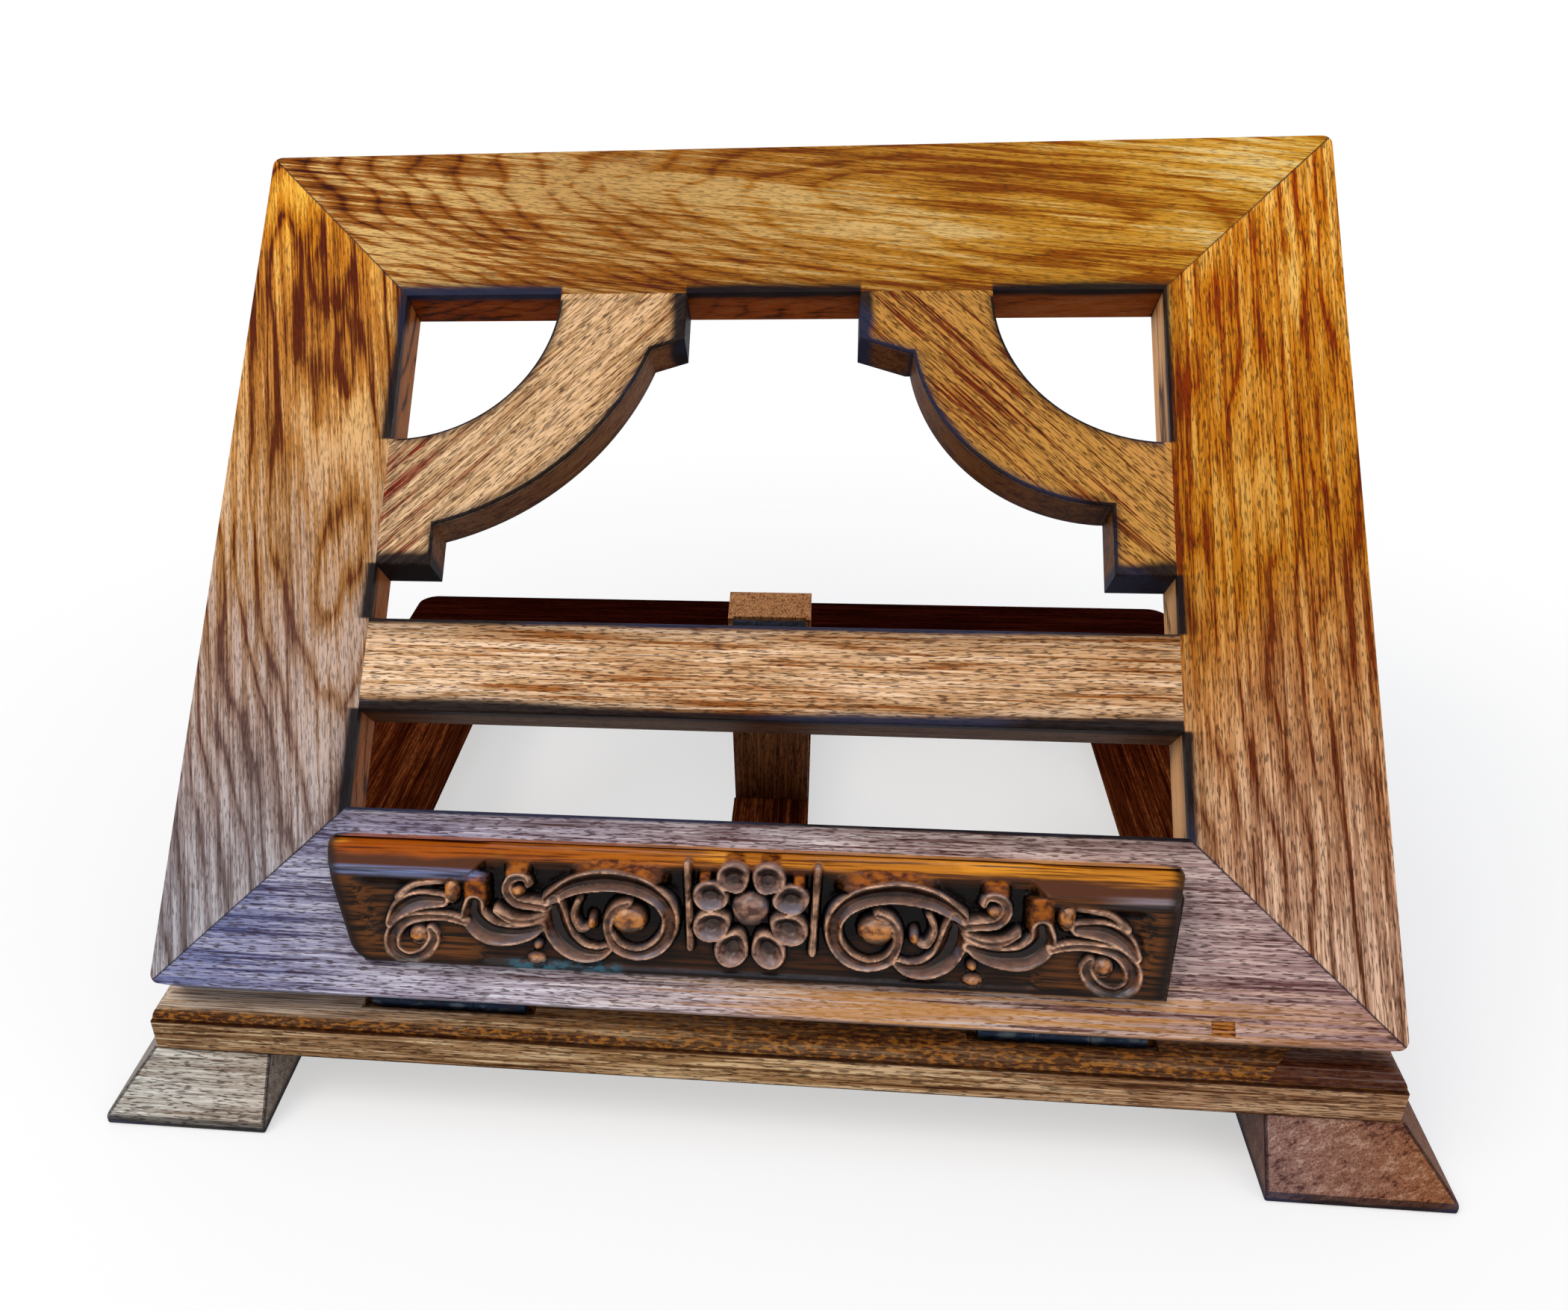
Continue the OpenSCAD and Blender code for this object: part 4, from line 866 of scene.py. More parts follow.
def carved_wood(colours):
    """Mango wood carved, stained and polished.

    To the eye: a dark streaked ground, brown scrolls rubbed light on their rims with painted highlights, black
    painted shade in the hollows and under what looks down, a painted cool sky reflection where they face the sky,
    and a rounded orange top where no stain was laid.
    """
    material = new_material("Carved mango wood, stained dark and polished")
    tree = material.node_tree
    position = millimetres(tree, "desk")
    parts = add(tree, "SeparateXYZ", {"Vector": position}).node.outputs
    fibre = streaks(tree, position, (30, 1.1), 3, 3)
    cloud = streaks(tree, position, (26, 12), 3, 9)
    blotch = streaks(tree, position, (3, 2.2), 3, 2)
    read = {
        name: add(tree, "Attribute", attribute_name=name).node.outputs["Fac"]
        for name in ("relief", "edge", "knob", "pool", "hollow", "band", "hood", "rim")
    }

    body, brown, amber = carved_tones(tree, parts, read, fibre, blotch, colours)
    side = add(tree, "MapRange SMOOTHSTEP", (parts["X"], -110.0, 90.0))
    orange = ledge_top(tree, parts, side, fibre, cloud, colours)
    pool = add(tree, "MapRange SMOOTHSTEP", (cloud, 0.42, 0.62, 0.1, 0.75))
    layers = [
        (read["band"], orange),
        (add(tree, "MapRange SMOOTHSTEP", (read["hood"], 0.25, 0.9)), brown),
        (read["knob"], amber),
        # Painted shade in the hollows and deep cuts, and a painted cool sky reflection where they face the sky
        (add(tree, "MapRange SMOOTHSTEP", (read["hollow"], 0.0, 1.1, 0.0, 0.95)), colours.painted_shade_black),
        (add(tree, "Math MULTIPLY", (read["pool"], pool)), colours.pool),
    ]
    layers += painted_light_layers(tree, position, read, blotch, colours)
    layers += outer_layers(tree, parts, read, side, fibre, blotch, colours)
    for share, tint in layers:
        body = add(tree, "Mix RGBA", (share, body, tint))

    height = add(tree, "Math MULTIPLY_ADD", (blotch, 0.5, add(tree, "Math MULTIPLY", (fibre, 0.5))))
    bump = add(tree, "Bump", {"Height": height, "Strength": 0.3, "Distance": 0.5 * MM})
    shader = add(tree, "BsdfPrincipled", {
        "Base Color": body,
        "Roughness": add(tree, "MapRange SMOOTHSTEP", (blotch, 0.3, 0.7, 0.22, 0.4)),
        "Normal": bump,
        "Specular IOR Level": 0.1,
        "Coat Weight": add(tree, "MapRange SMOOTHSTEP", (
            add(tree, "Math MULTIPLY_ADD", (read["relief"], 0.6, read["knob"])), 0.1, 1.0, 0.06, 0.5
        )),
        "Coat Roughness": 0.1,
    })
    add(tree, "OutputMaterial", {"Surface": shader})
    return material


def metal(name, colours, dark, light, roughness):
    """Steel, dark where its finish is whole, light where it is rubbed, with brown spots of rust."""
    material = new_material(name)
    tree = material.node_tree
    position = millimetres(tree, "base")
    wear = streaks(tree, position, (6, 2.5), 4, 1)
    rust = streaks(tree, position, (3, 3), 3, 8)
    base = add(tree, "Mix RGBA", (add(tree, "MapRange SMOOTHSTEP", (wear, 0.5, 0.66)), dark, light))
    base = add(tree, "Mix RGBA", (
        add(tree, "MapRange SMOOTHSTEP", (rust, 0.6, 0.75, 0.0, 0.6)), base, colours.rust
    ))
    shader = add(tree, "BsdfPrincipled", {
        "Base Color": base,
        "Metallic": 0.85,
        "Roughness": add(tree, "MapRange SMOOTHSTEP", (rust, 0.3, 0.7, roughness, roughness + 0.25)),
    })
    add(tree, "OutputMaterial", {"Surface": shader})
    return material


# Meshes

def merged(node):
    """A bmesh of a CAD node in millimetres with its corners merged and its flat faces joined."""
    bm = bmesh.new()
    bm.from_mesh(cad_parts[node].data)
    bmesh.ops.scale(bm, vec=(1 / MM, 1 / MM, 1 / MM), verts=bm.verts)
    bmesh.ops.remove_doubles(bm, verts=bm.verts, dist=MERGE)
    bmesh.ops.dissolve_limit(bm, angle_limit=FLAT, verts=bm.verts, edges=bm.edges)
    return bm


def sharp_edges(bm, wanted):
    """Edges that turn clearly outward and that wanted(middle, length) accepts, both in millimetres."""
    chosen = []
    for edge in bm.edges:
        if len(edge.link_faces) == 2 and edge.calc_face_angle_signed() > OUTWARD:
            middle = (edge.verts[0].co + edge.verts[1].co) / 2
            if wanted(middle, edge.calc_length()):
                chosen.append(edge)
    return chosen


def finish_piece(bm, name, body, material, nodes):
    """Turns a bmesh in millimetres into an object that stands for those CAD nodes."""
    bmesh.ops.scale(bm, vec=(MM, MM, MM), verts=bm.verts)
    bmesh.ops.recalc_face_normals(bm, faces=bm.faces)
    mesh = bpy.data.meshes.new(name)
    bm.to_mesh(mesh)
    bm.free()
    mesh.shade_smooth()
    mesh.set_sharp_from_angle(angle=CREASE)
    mesh.materials.append(material)
    obj = bpy.data.objects.new(name, mesh)
    bpy.context.scene.collection.objects.link(obj)
    weighted = obj.modifiers.new("Weighted normals", "WEIGHTED_NORMAL")
    weighted.keep_sharp = True
    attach(obj, body)
    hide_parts(*nodes)
    return obj


def eased_piece(node, body, material, width, steps, wanted):
    """A copy of a CAD node with its wanted edges rounded."""
    bm = merged(node)
    arris = bm.faces.layers.float.new("arris")
    edges = sharp_edges(bm, wanted)
    if not edges:
        raise RuntimeError(f"no edge of {node} was chosen for rounding")
    made = bmesh.ops.bevel(
        bm,
        geom=edges,
        offset=width / MM,
        offset_type="OFFSET",
        segments=steps,
        profile=0.5,
        affect="EDGES",
        clamp_overlap=True,
        material=-1,
    )
    for face in made["faces"]:
        face[arris] = 1.0
    return finish_piece(bm, f"{node}_eased", body, material, [node])


def on_mitre(point):
    """Whether a point of the desk lies on one of its four mitres."""
    for outer, inner in ((DESK_H, WINDOW_TOP), (0.0, BOTTOM_RAIL)):
        run = Vector((WINDOW_X - HALF_W, inner - outer)).normalized()
        off = Vector((abs(point.x) - HALF_W, point.y - outer))
        if abs(off.x * run.y - off.y * run.x) < NEAR_MITRE:
            return True
    return False


def board_edge(middle, length_mm):
    """Front edges of the desk's boards, and the long edges at their back."""
    point = DESK_INVERSE @ middle
    if on_mitre(point):
        return False
    return abs(point.z - DESK_T) < TOUCH or (abs(point.z) < TOUCH and length_mm > SHORTEST["back"])


def bottom_rail_edge(middle, length_mm):
    """Front edges of the bottom rail, without the mouth of the plug's hole."""
    point = DESK_INVERSE @ middle
    return abs(point.z - DESK_T) < TOUCH and not on_mitre(point) and length_mm > SHORTEST["bottom"]


def cross_edge(middle, length_mm):
    return length_mm > SHORTEST["cross"]


def bracket_edge(middle, length_mm):
    """Edges of the bracket's outline, without those that lie against rail and stile."""
    point = DESK_INVERSE @ middle
    joined = abs(abs(point.x) - WINDOW_X) < TOUCH or abs(point.y - WINDOW_TOP) < TOUCH
    return not joined and (abs(point.z - DESK_T) < TOUCH or abs(point.z) < TOUCH)


def base_board_edge(middle, length_mm):
    return length_mm > SHORTEST["rail"] and abs(middle.z - FOOT_H) < TOUCH


def rail_edge(middle, length_mm):
    joined = abs(middle.y - FRONT_JOINT) < TOUCH or abs(middle.y - REAR_JOINT) < TOUCH
    return length_mm > SHORTEST["rail"] and not joined


def rear_edge(middle, length_mm):
    return abs(middle.y - REAR_JOINT) > TOUCH and (length_mm > SHORTEST["rail"] or middle.y > REAR_JOINT + 30)


def foot_edge(middle, length_mm):
    return length_mm > SHORTEST["foot"] and middle.z < FOOT_H - 0.5


def long_edge(middle, length_mm):
    return length_mm > SHORTEST["prop"]


# Carved ledge

def smooth_path(points, parts=8):
    """Catmull-Rom curve through the points."""
    p = np.array([points[0], *points, points[-1]], float)
    made = []
    for i in range(len(points) - 1):
        a, b, c, d = p[i : i + 4]
        for t in np.linspace(0, 1, parts, endpoint=False):
            made.append(
                0.5 * (2 * b + (c - a) * t + (2 * a - 5 * b + 4 * c - d) * t**2 + (3 * b - a - 3 * c + d) * t**3)
            )
    made.append(p[-1])
    return np.array(made)


def smooth_step(value, start, end):
    t = np.clip((value - start) / (end - start), 0, 1)
    return t * t * (3 - 2 * t)


def rim_line(inward):
    """1 on the thin rim of a stroke or petal, by its distance inward."""
    return smooth_step(inward, -0.3, 0) * (1 - smooth_step(inward, 0.35, 0.75))


def dome(share):
    """Height of a half ball over the share of its radius, 1 in its middle."""
    return np.sqrt(np.clip(1 - share * share, 0, 1))


def stroke_shape(x, y, points):
    """Share of the way across a stroke (1 on its rim) and its half width, at each place."""
    path = smooth_path(points)
    share = np.full(x.shape, OUTSIDE)
    width = np.ones(x.shape)
    for a, b in zip(path[:-1], path[1:]):
        run = b[:2] - a[:2]
        t = np.clip(((x - a[0]) * run[0] + (y - a[1]) * run[1]) / max(run @ run, 1e-9), 0, 1)
        w = a[2] + (b[2] - a[2]) * t
        u = np.hypot(x - a[0] - t * run[0], y - a[1] - t * run[1]) / w
        nearer = u < share
        share = np.where(nearer, u, share)
        width = np.where(nearer, w, width)
    return share, width


def carving(x, y):
    """How far the wood stands up (0 ground, 1 face), its dip, and its rims, knobs and hoods, at each place."""
    left = np.where(x < MIRROR_SUM / 2, x, MIRROR_SUM - x)
    standing = np.zeros(x.shape)
    dip = np.zeros(x.shape)
    edge = np.zeros(x.shape)
    knob = np.zeros(x.shape)
    for points in STROKES:
        share, width = stroke_shape(left, y, points)
        wall = 1 - smooth_step((share - 1) * width, 0, WALL_RUN)
        edge = np.where(wall > 0.5, rim_line((1 - share) * width), edge)
        hollow = np.clip(1.15 * width - 0.7, *STROKE_DIP) * smooth_step(1 - share, 0.1, 0.75)
        dip = np.where(wall > standing, hollow, dip)
        standing = np.maximum(standing, wall)
    for across, up, half_w, half_h in KNOBS:
        u = np.hypot((left - across) / half_w, (y - up) / half_h)
        dip = np.where(u < 1, KNOB_DOME[0] - KNOB_DOME[1] * dome(u), dip)
        standing = np.maximum(standing, 1 - smooth_step((u - 1) * half_w, 0, WALL_RUN))
        knob = np.maximum(knob, 1 - smooth_step(u, 0.85, 1.1))
    off_x, off_y = x - FLOWER[0], y - FLOWER[1]
    share = np.full(x.shape, OUTSIDE)
    for across, up, half_l in PETALS:
        reach = math.hypot(across, up)
        for side in (-1, 1):
            run = np.array([-side * across, up]) / reach
            along = off_x * run[0] + off_y * run[1] - reach
            over = off_x * run[1] - off_y * run[0]
            half_w = PETAL_HALF_W * (0.72 + 0.28 * np.clip(1 + along / half_l, 0, 1))
            share = np.minimum(share, np.hypot(along / half_l, over / half_w))
    in_flower = share < 1.15
    standing = np.where(in_flower, 1 - smooth_step((share - 1) * PETAL_R, 0, PETAL_WALL), standing)
    dip = np.where(in_flower, PETAL_DIP * smooth_step(1 - share, 0.08, 0.7), dip)
    edge = np.where(in_flower, rim_line((1 - share) * PETAL_R), edge)
    boss = np.hypot(off_x, off_y) / BOSS_R
    standing = np.where(boss < 1, 1.0, standing)
    dip = np.where(boss < 1, BOSS_DOME[0] - BOSS_DOME[1] * dome(boss), dip)
    edge *= (1 - knob) * (boss > 1)
    knob = np.maximum(knob, 0.15 * (1 - smooth_step(boss, 0.85, 1.0)))
    hood = np.zeros(x.shape)
    for start, end, low, high in HOODS:
        share = np.clip((left - start) / (end - start), 0, 1)
        across = smooth_step(1 - np.abs(2 * share - 1), 0, 0.7)
        hood = np.maximum(hood, across * smooth_step(y, low - 1, low + 1) * (1 - smooth_step(y, high - 2, high)))
    return standing, dip, edge, knob, hood


def blurred(grid, points):
    """The grid averaged over a smooth window of that many points each way."""
    window = np.hanning(2 * points + 3)[1:-1]
    window /= window.sum()
    padded = np.pad(grid, points, mode="edge")
    rows = np.apply_along_axis(np.convolve, 0, padded, window, "valid")
    return np.apply_along_axis(np.convolve, 1, rows, window, "valid")


def ledge_rows(step):
    """Rows round the ledge's section, from its back over its foot, face and rounded top to its back again.

    Each row holds its place in front of the desk and up the desk, the height up the face at which the
    camera sees it, how far it lies behind the face's plane there, and whether it may be carved.
    """
    reach, nose_v = NOSE
    chord = math.hypot(reach, LEDGE_TOP - nose_v)
    radius = (chord**2 / 4 + TOP_SWELL**2) / (2 * TOP_SWELL)
    middle = np.array([reach / 2, (LEDGE_TOP + nose_v) / 2])
    outward = np.array([LEDGE_TOP - nose_v, reach]) / chord
    centre = middle - outward * (radius - TOP_SWELL)
    half = math.asin(chord / 2 / radius)
    straight = math.atan2(outward[1], outward[0])
    foot = np.array([LEDGE_FOOT_T, LEDGE_FOOT])
    face = np.array([reach, nose_v]) - foot
    face_h = np.linalg.norm(face)
    places = [(0.0, LEDGE_FOOT), (LEDGE_FOOT_T * 0.5, LEDGE_FOOT)]
    places += [tuple(foot + face * t) for t in np.linspace(0, 1, round(face_h / step) + 1)]
    carved = [0.0, 0.0] + [1.0] * (len(places) - 2)
    arc_l = 2 * half * radius
    along = np.concatenate([np.arange(step, 12, 1.2 * step), np.linspace(12, arc_l, 12)])
    for run in along:
        angle = straight - half + run / radius
        places.append((centre[0] + radius * math.cos(angle), centre[1] + radius * math.sin(angle)))
        carved.append(1.0 if run < 0.8 * arc_l else 0.0)
    for t in (0.25, 0.5, 0.75, 1.0):
        places.append((0.0, LEDGE_TOP + (LEDGE_FOOT - LEDGE_TOP) * t))
        carved.append(0.0)
    places, carved = np.array(places), np.array(carved)
    # The nose is rounded by averaging its neighbours
    nose = np.hypot(*(places - np.array(NOSE)).T) < 2.0
    for _ in range(6):
        average = places.copy()
        average[1:-1] = (places[:-2] + 2 * places[1:-1] + places[2:]) / 4
        places[nose] = average[nose]
    face /= face_h
    screen_up = np.array([-SIGHT[1], SIGHT[0]])
    seen = (places - foot) @ screen_up / (face @ screen_up)
    behind = np.einsum("ij,j->i", foot + np.outer(seen, face) - places, SIGHT)
    behind[carved < 0.5] = 0.0
    return places, seen, behind, carved, face_h


def ledge_end(col, n, v):
    """How far from the middle the ledge ends, on its left where col is negative, for places of its section."""
    reach, lean_up, lean_out = np.where(col[:, None] < 0, LEDGE_ENDS[-1], LEDGE_ENDS[1]).T
    end = reach + lean_up * (v - LEDGE_TOP) - lean_out * n
    # The corners at the ledge's foot and top are rounded
    low = np.clip(CORNER_R - (v - LEDGE_FOOT), 0, 0.97 * CORNER_R) * (col < 0)
    high = np.clip(TOP_CORNER_R - (LEDGE_TOP - v), 0, 0.95 * TOP_CORNER_R)
    end -= CORNER_R - np.sqrt(CORNER_R**2 - low**2) + TOP_CORNER_R - np.sqrt(TOP_CORNER_R**2 - high**2)
    return end


def carved_depth(x, up, end, sunk, face_h, ground):
    """Depth of the carved wood behind the face's plane, and the shares of carving() with it."""
    standing, dip, edge, knob, hood = carving(x, up)
    standing *= smooth_step(up, -1.5, -0.5) * (1 - smooth_step(up, *CARVED_TOP))
    left = np.where(x < MIRROR_SUM / 2, x, MIRROR_SUM - x)
    middle_field = smooth_step(left, *FIELD_END)
    deep = FOOT_CUT * smooth_step(up, 0, 2) + (ground - FOOT_CUT) * smooth_step(up, -1, 20)
    shallow = END_CUT * smooth_step(up, 0.5, 12) * (1 - smooth_step(up, face_h - 6, face_h - 1.5))
    # The field ends short of the ledge's ends
    inside = smooth_step(end - np.abs(x), *FIELD_EDGE)
    floor = np.maximum((shallow + (deep - shallow) * middle_field) * inside, sunk)
    uncut = sunk + (PLAIN_CUT - HOOD_RISE * hood)
    depth = floor + (np.minimum(uncut, floor) - floor) * smooth_step(hood, 0, 0.35)
    depth += (dip - depth) * standing
    return depth, standing, dip, edge, knob, hood


def ledge_mesh(sizes):
    """The carved ledge in millimetres as one grid wrapped round its section."""
    step = sizes.ledge_step / MM
    section, seen, behind, carved, face_h = ledge_rows(step)
    columns = round(LEDGE_LENGTH / step)
    bm = bmesh.new()
    bmesh.ops.create_grid(bm, x_segments=columns, y_segments=len(section) - 1, size=1.0)
    start = np.array([v.co[:2] for v in bm.verts])
    col = start[:, 0]
    row = np.rint((start[:, 1] + 1) / 2 * (len(section) - 1)).astype(int)
    n, v = section[row].T
    up, sunk, free = seen[row], behind[row], carved[row]
    end = ledge_end(col, n, v)
    x = col * end

    # Ends are eased: the section shrinks over the last millimetres
    ease_r = END_R + END_R * smooth_step(up, face_h - 6, face_h)
    near_end = np.clip(ease_r - (end - np.abs(x)), 0, ease_r)
    inset = ease_r - np.sqrt(np.clip(ease_r**2 - near_end**2, 0, None))

    ground = sizes.ground_depth / MM
    depth, standing, dip, edge, knob, hood = carved_depth(x, up, end, sunk, face_h, ground)

    shape = (len(section), columns + 1)
    col_i = np.rint((col + 1) / 2 * columns).astype(int)
    grid = np.zeros(shape)
    grid[row, col_i] = depth
    depth = np.where(free > 0.5, blurred(grid, 1)[row, col_i], 0.0)
    # Carving runs square to the face, and along the line of sight where the top rounds away
    square = np.array([math.cos(FACE_LEAN), -math.sin(FACE_LEAN)])
    share = smooth_step(up, 20, face_h)[:, None]
    into = square * (1 - share) + SIGHT * share
    into /= np.linalg.norm(into, axis=1, keepdims=True)
    on_plane = np.stack([n, v], axis=1) + SIGHT * sunk[:, None]
    place = on_plane - into * (depth + inset * (free > 0.5))[:, None]
    place[:, 0] = np.maximum(place[:, 0], 0.0)
    place = np.where(free[:, None] > 0.5, place, np.stack([n, v], axis=1))
    places = np.column_stack([x, place[:, 1], place[:, 0] + DESK_T])

    # Painted shade goes in hollows that lie below their surroundings and in deep cuts and dips, and a painted
    # sky reflection where the carving faces the sky
    wide = (grid - blurred(grid, round(3.2 / step)))[row, col_i]
    upward = np.zeros(shape)
    upward[:-1] = np.diff(grid, axis=0) / step
    pool = smooth_step(blurred(upward, 2)[row, col_i], 0.25, 0.9) * standing * (1 - edge) * (1 - knob)
    cut = depth - sunk
    hollow = np.maximum.reduce([wide, (cut - SHADED_CUT) * 0.7, (dip - SHADED_DIP) * 0.5 * standing])
    values = {
        "relief": standing,
        "edge": edge,
        "knob": knob * standing,
        "pool": pool,
        "hollow": hollow * (1 - smooth_step(up, 29, 31)),
        "band": smooth_step(up, face_h - 0.6, face_h + 1.2) * (1 - smooth_step(cut, 0.7, 2.0)) * (1 - standing),
        "hood": hood * (1 - standing),
        # Share near the ledge's ends, which takes painted shade
        "rim": 1 - smooth_step(end - np.abs(x), 1.5, 5),
    }
    for name, numbers in values.items():
        layer = bm.verts.layers.float.new(name)
        for vert, number in zip(bm.verts, numbers):
            vert[layer] = number
    for vert, spot in zip(bm.verts, places):
        vert.co = DESK @ Vector(spot)
    bmesh.ops.remove_doubles(bm, verts=bm.verts, dist=MERGE)
    open_edges = [e for e in bm.edges if e.is_boundary]
    bmesh.ops.holes_fill(bm, edges=open_edges, sides=0)
    return bm


# Operators

class LecternOperator:
    bl_options = {"REGISTER", "UNDO"}

    def look(self, kind, name):
        scene = bpy.context.scene
        return wood(name, kind, scene.lectern_sizes, scene.lectern_colours)


class LECTERN_OT_desk(LecternOperator, bpy.types.Operator):
    """Rounds the edges of the desk's mitred frame and cross rail and gives each board its own wood"""

    bl_idname = "lectern.desk"
    bl_label = "Desk frame"

    def execute(self, context):
        sizes = context.scene.lectern_sizes
        # Mango wood, planed and varnished: sawn flat, its rings show as arches and flames under a thin satin
        # coat, dark pores stay open, and the varnish has yellowed to honey and amber or greyed to mauve. The cool
        # blue-grey at the bottom rail's left and the left stile's foot is partly a painted reflection of the sky
        parts = [
            ("top_rail", "honey_wood", "Varnished mango wood, honey brown with arched figure", board_edge),
            ("left_stile", "brown_wood", "Varnished mango wood, brown, grey towards its foot", board_edge),
            ("right_stile", "amber_wood", "Varnished mango wood, amber with dark streaks", board_edge),
            ("bottom_rail", "mauve_wood", "Varnished mango wood, grey-mauve and cool", bottom_rail_edge),
            ("cross_rail", "tan_wood", "Varnished mango wood, pale tan with open pores", cross_edge),
        ]
        for node, slot, name, wanted in parts:
            material = self.look(node, name)
            width = sizes.plug_round if node == "bottom_rail" else sizes.board_round
            eased_piece(node, "desk", material, width, sizes.round_steps, wanted)
        return {"FINISHED"}


class LECTERN_OT_brackets(LecternOperator, bpy.types.Operator):
    """Rounds and burns the outlines of the two brackets"""

    bl_idname = "lectern.brackets"
    bl_label = "Brackets"

    def execute(self, context):
        sizes = context.scene.lectern_sizes
        # The same wood with its outline scorched: brown next to the wood, blue-black at the edge
        for node, name in (
            ("left_bracket", "Scorched mango wood, grain rising to the right"),
            ("right_bracket", "Scorched mango wood, grain falling to the right"),
        ):
            material = self.look(node, name)
            eased_piece(node, "desk", material, sizes.bracket_round, sizes.round_steps, bracket_edge)
        return {"FINISHED"}


class LECTERN_OT_ledge(LecternOperator, bpy.types.Operator):
    """Carves the book ledge with its scrolls and flower"""

    bl_idname = "lectern.ledge"
    bl_label = "Carved ledge"

    def execute(self, context):
        scene = context.scene
        material = carved_wood(scene.lectern_colours)
        bm = ledge_mesh(scene.lectern_sizes)
        finish_piece(bm, "book_ledge_carved", "desk", material, ["book_ledge"])
        return {"FINISHED"}


class LECTERN_OT_base(LecternOperator, bpy.types.Operator):
    """Rounds the edges of the base, its feet and the prop, and gives them their woods"""

    bl_idname = "lectern.base"
    bl_label = "Base, feet and prop"

    def execute(self, context):
        sizes = context.scene.lectern_sizes
        # Varnish stands dark and orange in the pores of the moulding
        front = self.look("front_board", "Varnished mango wood, tan, flecked in the moulding")
        patch = self.look("patch", "Varnished mango wood, red-brown repair")
        # Worn nearly bare: the left feet show grey long grain, the right ones mottled end grain
        left = self.look("left_foot", "Worn mango wood, pale grey, dark at the sole")
        right = self.look("right_foot", "Worn mango end grain, pink-brown, dark at the sole")
        # Stained red-brown and nearly black behind, matt with age; the rear rail's near-black is dark stain
        # deepened by painted shade
        dark = self.look("dark_rail", "Stained mango wood, dark red-brown")
        rear = self.look("rear_rail", "Stained mango wood, nearly black")
        leg = self.look("leg", "Stained mango wood, red-brown, pale at its sawn head")
        parts = [
            ("front_board", "base", "front_wood", front, base_board_edge),
            ("left_side_rail", "base", "dark_wood", dark, rail_edge),
            ("right_side_rail", "base", "dark_wood", dark, rail_edge),
            ("rear_rail", "base", "dark_wood", rear, rear_edge),
            ("centre_rack", "base", "dark_wood", dark, rail_edge),
            ("front_left_foot", "base", "pale_foot_wood", left, foot_edge),
            ("rear_left_foot", "base", "pale_foot_wood", left, foot_edge),
            ("front_right_foot", "base", "pink_foot_wood", right, foot_edge),
            ("rear_right_foot", "base", "pink_foot_wood", right, foot_edge),
            ("prop_leg", "prop", "dark_wood", leg, long_edge),
        ]
        for node, body, slot, material, wanted in parts:
            width = sizes.leg_round if node == "prop_leg" else sizes.base_round
            eased_piece(node, body, material, width, sizes.round_steps, wanted)
        give(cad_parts["moulding_patch"], patch)
        return {"FINISHED"}


class LECTERN_OT_hardware(LecternOperator, bpy.types.Operator):
    """Gives hinges, pins, screws, plug, splines and dowels their materials"""

    bl_idname = "lectern.hardware"
    bl_label = "Hinges, screws and dowels"

    def execute(self, context):
        colours = context.scene.lectern_colours
        # Pressed steel, blued: dark with a cool sheen, grey where it is rubbed, brown in spots of rust
        steel = metal("Blued steel, rubbed grey in places", colours, colours.steel, colours.worn_steel, 0.35)
        black = metal("Blued steel, black with old wax", colours, colours.black_steel, colours.steel, 0.5)
        # Turned steel screws, dull and tarnished in spots
        screw = metal("Turned steel, dull", colours, colours.screw, colours.worn_steel, 0.4)
        plug = self.look("plug", "Varnished mango wood, orange plug")
        dowel = self.look("dowel", "Bare beech of splines and dowels")
        for name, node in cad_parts.items():
            if "screws" in name:
                give(node, screw)
            elif "prop_hinge" in name:
                give(node, black)
            elif "hinge" in name:
                give(node, steel)
        give(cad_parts["edge_plug"], plug)
        for name in ("mitre_splines", "bracket_dowels", "rail_dowels"):
            give(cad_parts[name], dowel)
        return {"FINISHED"}


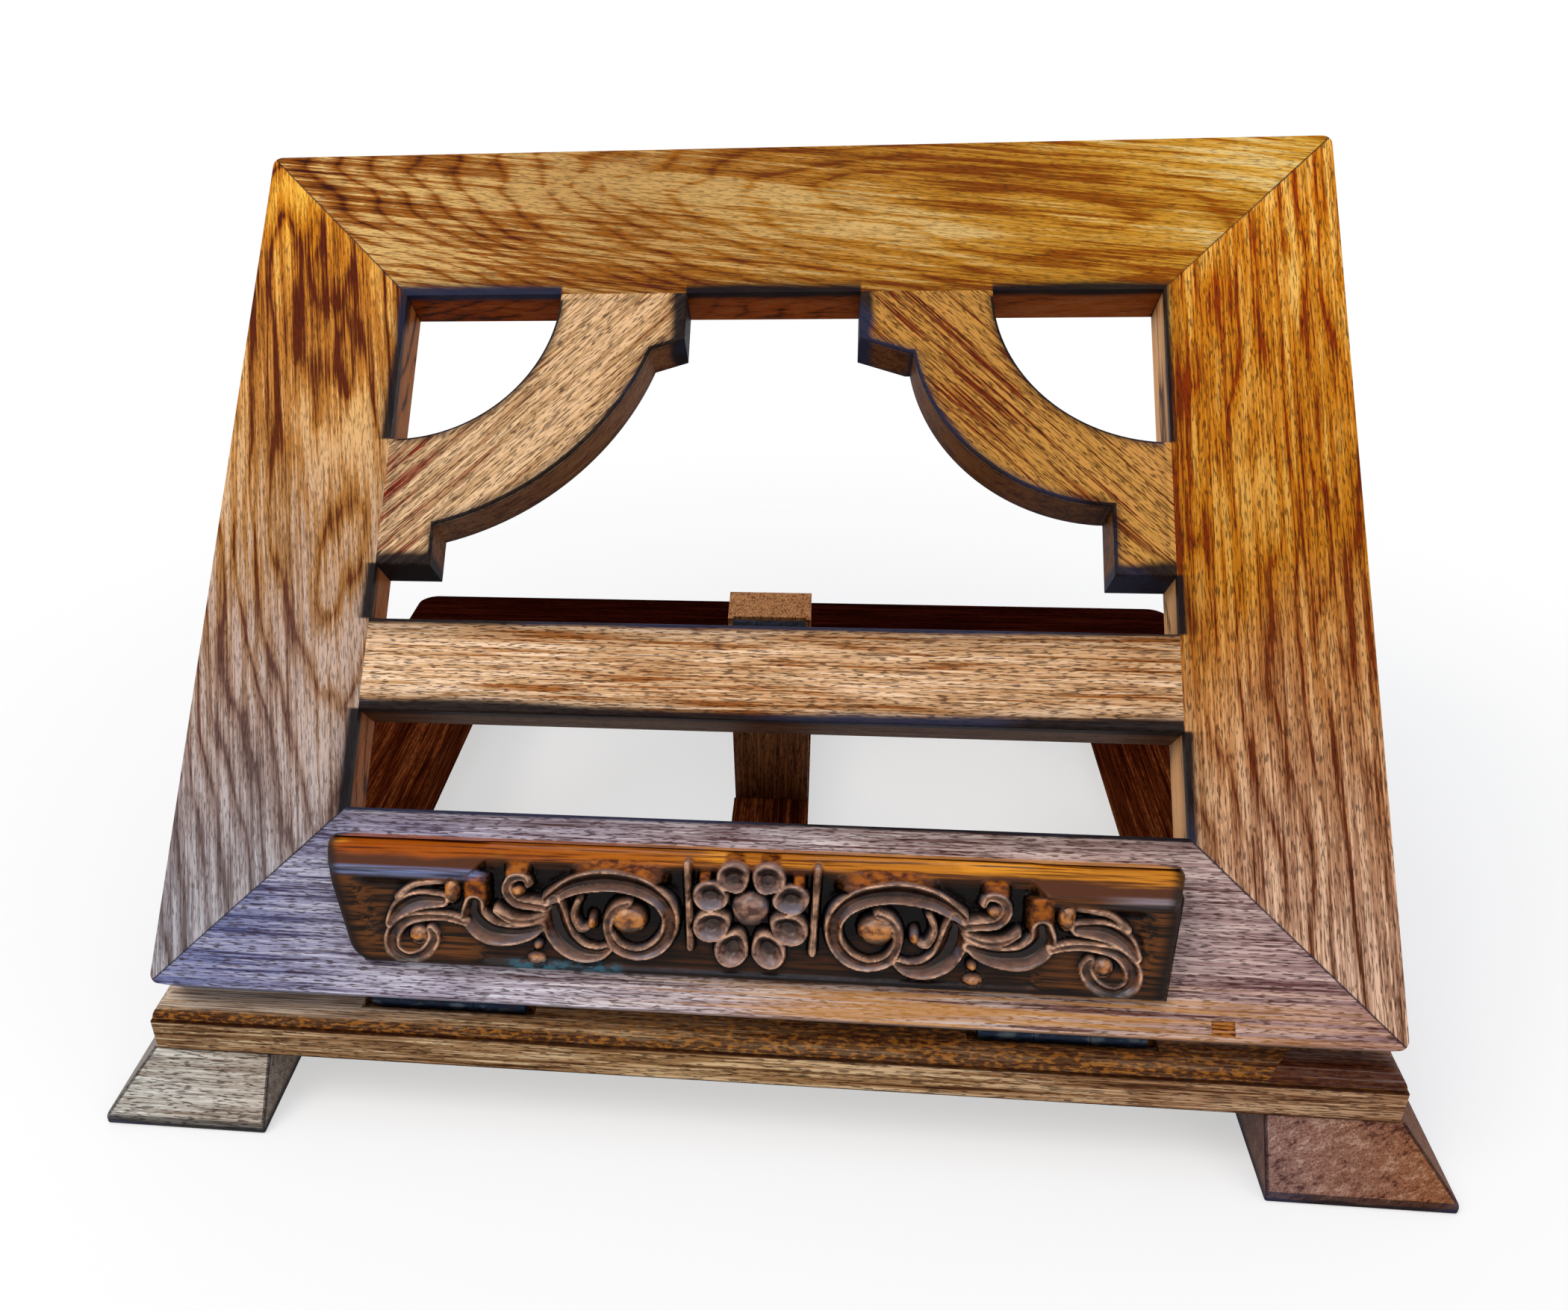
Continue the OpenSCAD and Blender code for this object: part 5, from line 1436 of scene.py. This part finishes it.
class LECTERN_OT_stage(LecternOperator, bpy.types.Operator):
    """Sets the pale floor, the soft lights and the camera at the photo's angle"""

    bl_idname = "lectern.stage"
    bl_label = "Stage"

    def execute(self, context):
        scene = context.scene
        bm = bmesh.new()
        bmesh.ops.create_grid(bm, x_segments=1, y_segments=1, size=FLOOR_SIZE)
        mesh = bpy.data.meshes.new("floor")
        bm.to_mesh(mesh)
        bm.free()
        mesh.materials.append(floor_material(scene.lectern_colours))
        floor = bpy.data.objects.new("floor", mesh)
        scene.collection.objects.link(floor)

        lamps = [
            ("key", (-0.9, -0.7, 1.5), 0.9, 13.0, "#fff4e6"),
            ("fill", (1.2, -1.0, 0.9), 1.2, 6.0, "#fffaf2"),
            ("sky", (-0.1, -0.15, 1.8), 0.8, 9.0, "#d6e4ff"),
        ]
        for name, at, size, power, tint in lamps:
            lamp = bpy.data.lights.new(name, "AREA")
            lamp.size = size
            lamp.energy = power
            lamp.color = linear(tint)
            obj = bpy.data.objects.new(name, lamp)
            obj.location = at
            aim = Vector((0, 0, 0.1)) - Vector(at)
            obj.rotation_euler = aim.to_track_quat("-Z", "Y").to_euler()
            scene.collection.objects.link(obj)

        world = bpy.data.worlds.new("Studio")
        world.use_nodes = True
        tree = world.node_tree
        tree.nodes.clear()
        path = add(tree, "LightPath").node.outputs
        seen = add(tree, "Math MAXIMUM", (path["Is Glossy Ray"], path["Is Transmission Ray"]))
        seen = add(tree, "Math MAXIMUM", (path["Is Camera Ray"], seen))
        level = add(tree, "MapRange", {"Value": seen, "To Min": ROOM_LIGHT, "To Max": 1.0})
        shader = add(tree, "Background", {"Color": (1, 1, 1, 1), "Strength": level})
        add(tree, "OutputWorld", {"Surface": shader})
        scene.world = world

        camera = bpy.data.cameras.new("camera")
        camera.sensor_fit = "HORIZONTAL"
        camera.sensor_width = 36
        camera.lens = CAMERA_LENS
        camera.shift_x, camera.shift_y = CAMERA_SHIFT
        camera.clip_start = 0.01
        obj = bpy.data.objects.new("camera", camera)
        turn = Matrix((CAMERA_RIGHT, -CAMERA_DOWN, -CAMERA_AHEAD)).transposed().to_4x4()
        obj.matrix_world = Matrix.Translation(CAMERA_AT) @ turn
        scene.collection.objects.link(obj)
        scene.camera = obj
        scene.view_settings.view_transform = "Standard"
        return {"FINISHED"}


def give(node, material):
    node.data.materials.clear()
    node.data.materials.append(material)


def floor_material(colours):
    """Matt pale floor with a faint mottle: it holds the soft shadow and fades into the white beyond it."""
    material = new_material("Matt pale studio floor")
    tree = material.node_tree
    position = millimetres(tree, "base")
    mottle = streaks(tree, position, (400, 400), 2)
    base = add(tree, "Mix RGBA", (mottle, colours.floor, [0.98 * c for c in colours.floor]))
    matt = add(tree, "BsdfPrincipled", {"Base Color": base, "Roughness": 0.9})
    clear = add(tree, "BsdfTransparent")
    reach = add(tree, "VectorMath LENGTH", (position,))
    through = add(tree, "MapRange SMOOTHSTEP", (reach, *FLOOR_FADE, FLOOR_CLEAR, 1.0))
    shader = add(tree, "MixShader", (through, matt, clear))
    add(tree, "OutputMaterial", {"Surface": shader})
    return material


class LECTERN_PT_panel(bpy.types.Panel):
    bl_label = "Lectern"
    bl_space_type = "VIEW_3D"
    bl_region_type = "UI"
    bl_category = "Lectern"

    def draw(self, context):
        for operator in OPERATORS:
            self.layout.operator(operator.bl_idname)
        for group in (context.scene.lectern_sizes, context.scene.lectern_colours):
            for name in group.bl_rna.properties.keys():
                if name not in ("rna_type", "name"):
                    self.layout.prop(group, name)


OPERATORS = [
    LECTERN_OT_desk,
    LECTERN_OT_brackets,
    LECTERN_OT_ledge,
    LECTERN_OT_base,
    LECTERN_OT_hardware,
    LECTERN_OT_stage,
]
CLASSES = [LecternSizes, LecternColours, *OPERATORS, LECTERN_PT_panel]


def register():
    for cls in CLASSES:
        bpy.utils.register_class(cls)
    bpy.types.Scene.lectern_sizes = PointerProperty(type=LecternSizes)
    bpy.types.Scene.lectern_colours = PointerProperty(type=LecternColours)


def unregister():
    del bpy.types.Scene.lectern_colours
    del bpy.types.Scene.lectern_sizes
    for cls in reversed(CLASSES):
        bpy.utils.unregister_class(cls)


def main():
    register()
    bpy.ops.lectern.desk()
    bpy.ops.lectern.brackets()
    bpy.ops.lectern.ledge()
    bpy.ops.lectern.base()
    bpy.ops.lectern.hardware()
    bpy.ops.lectern.stage()


if __name__ == "__main__":
    main()
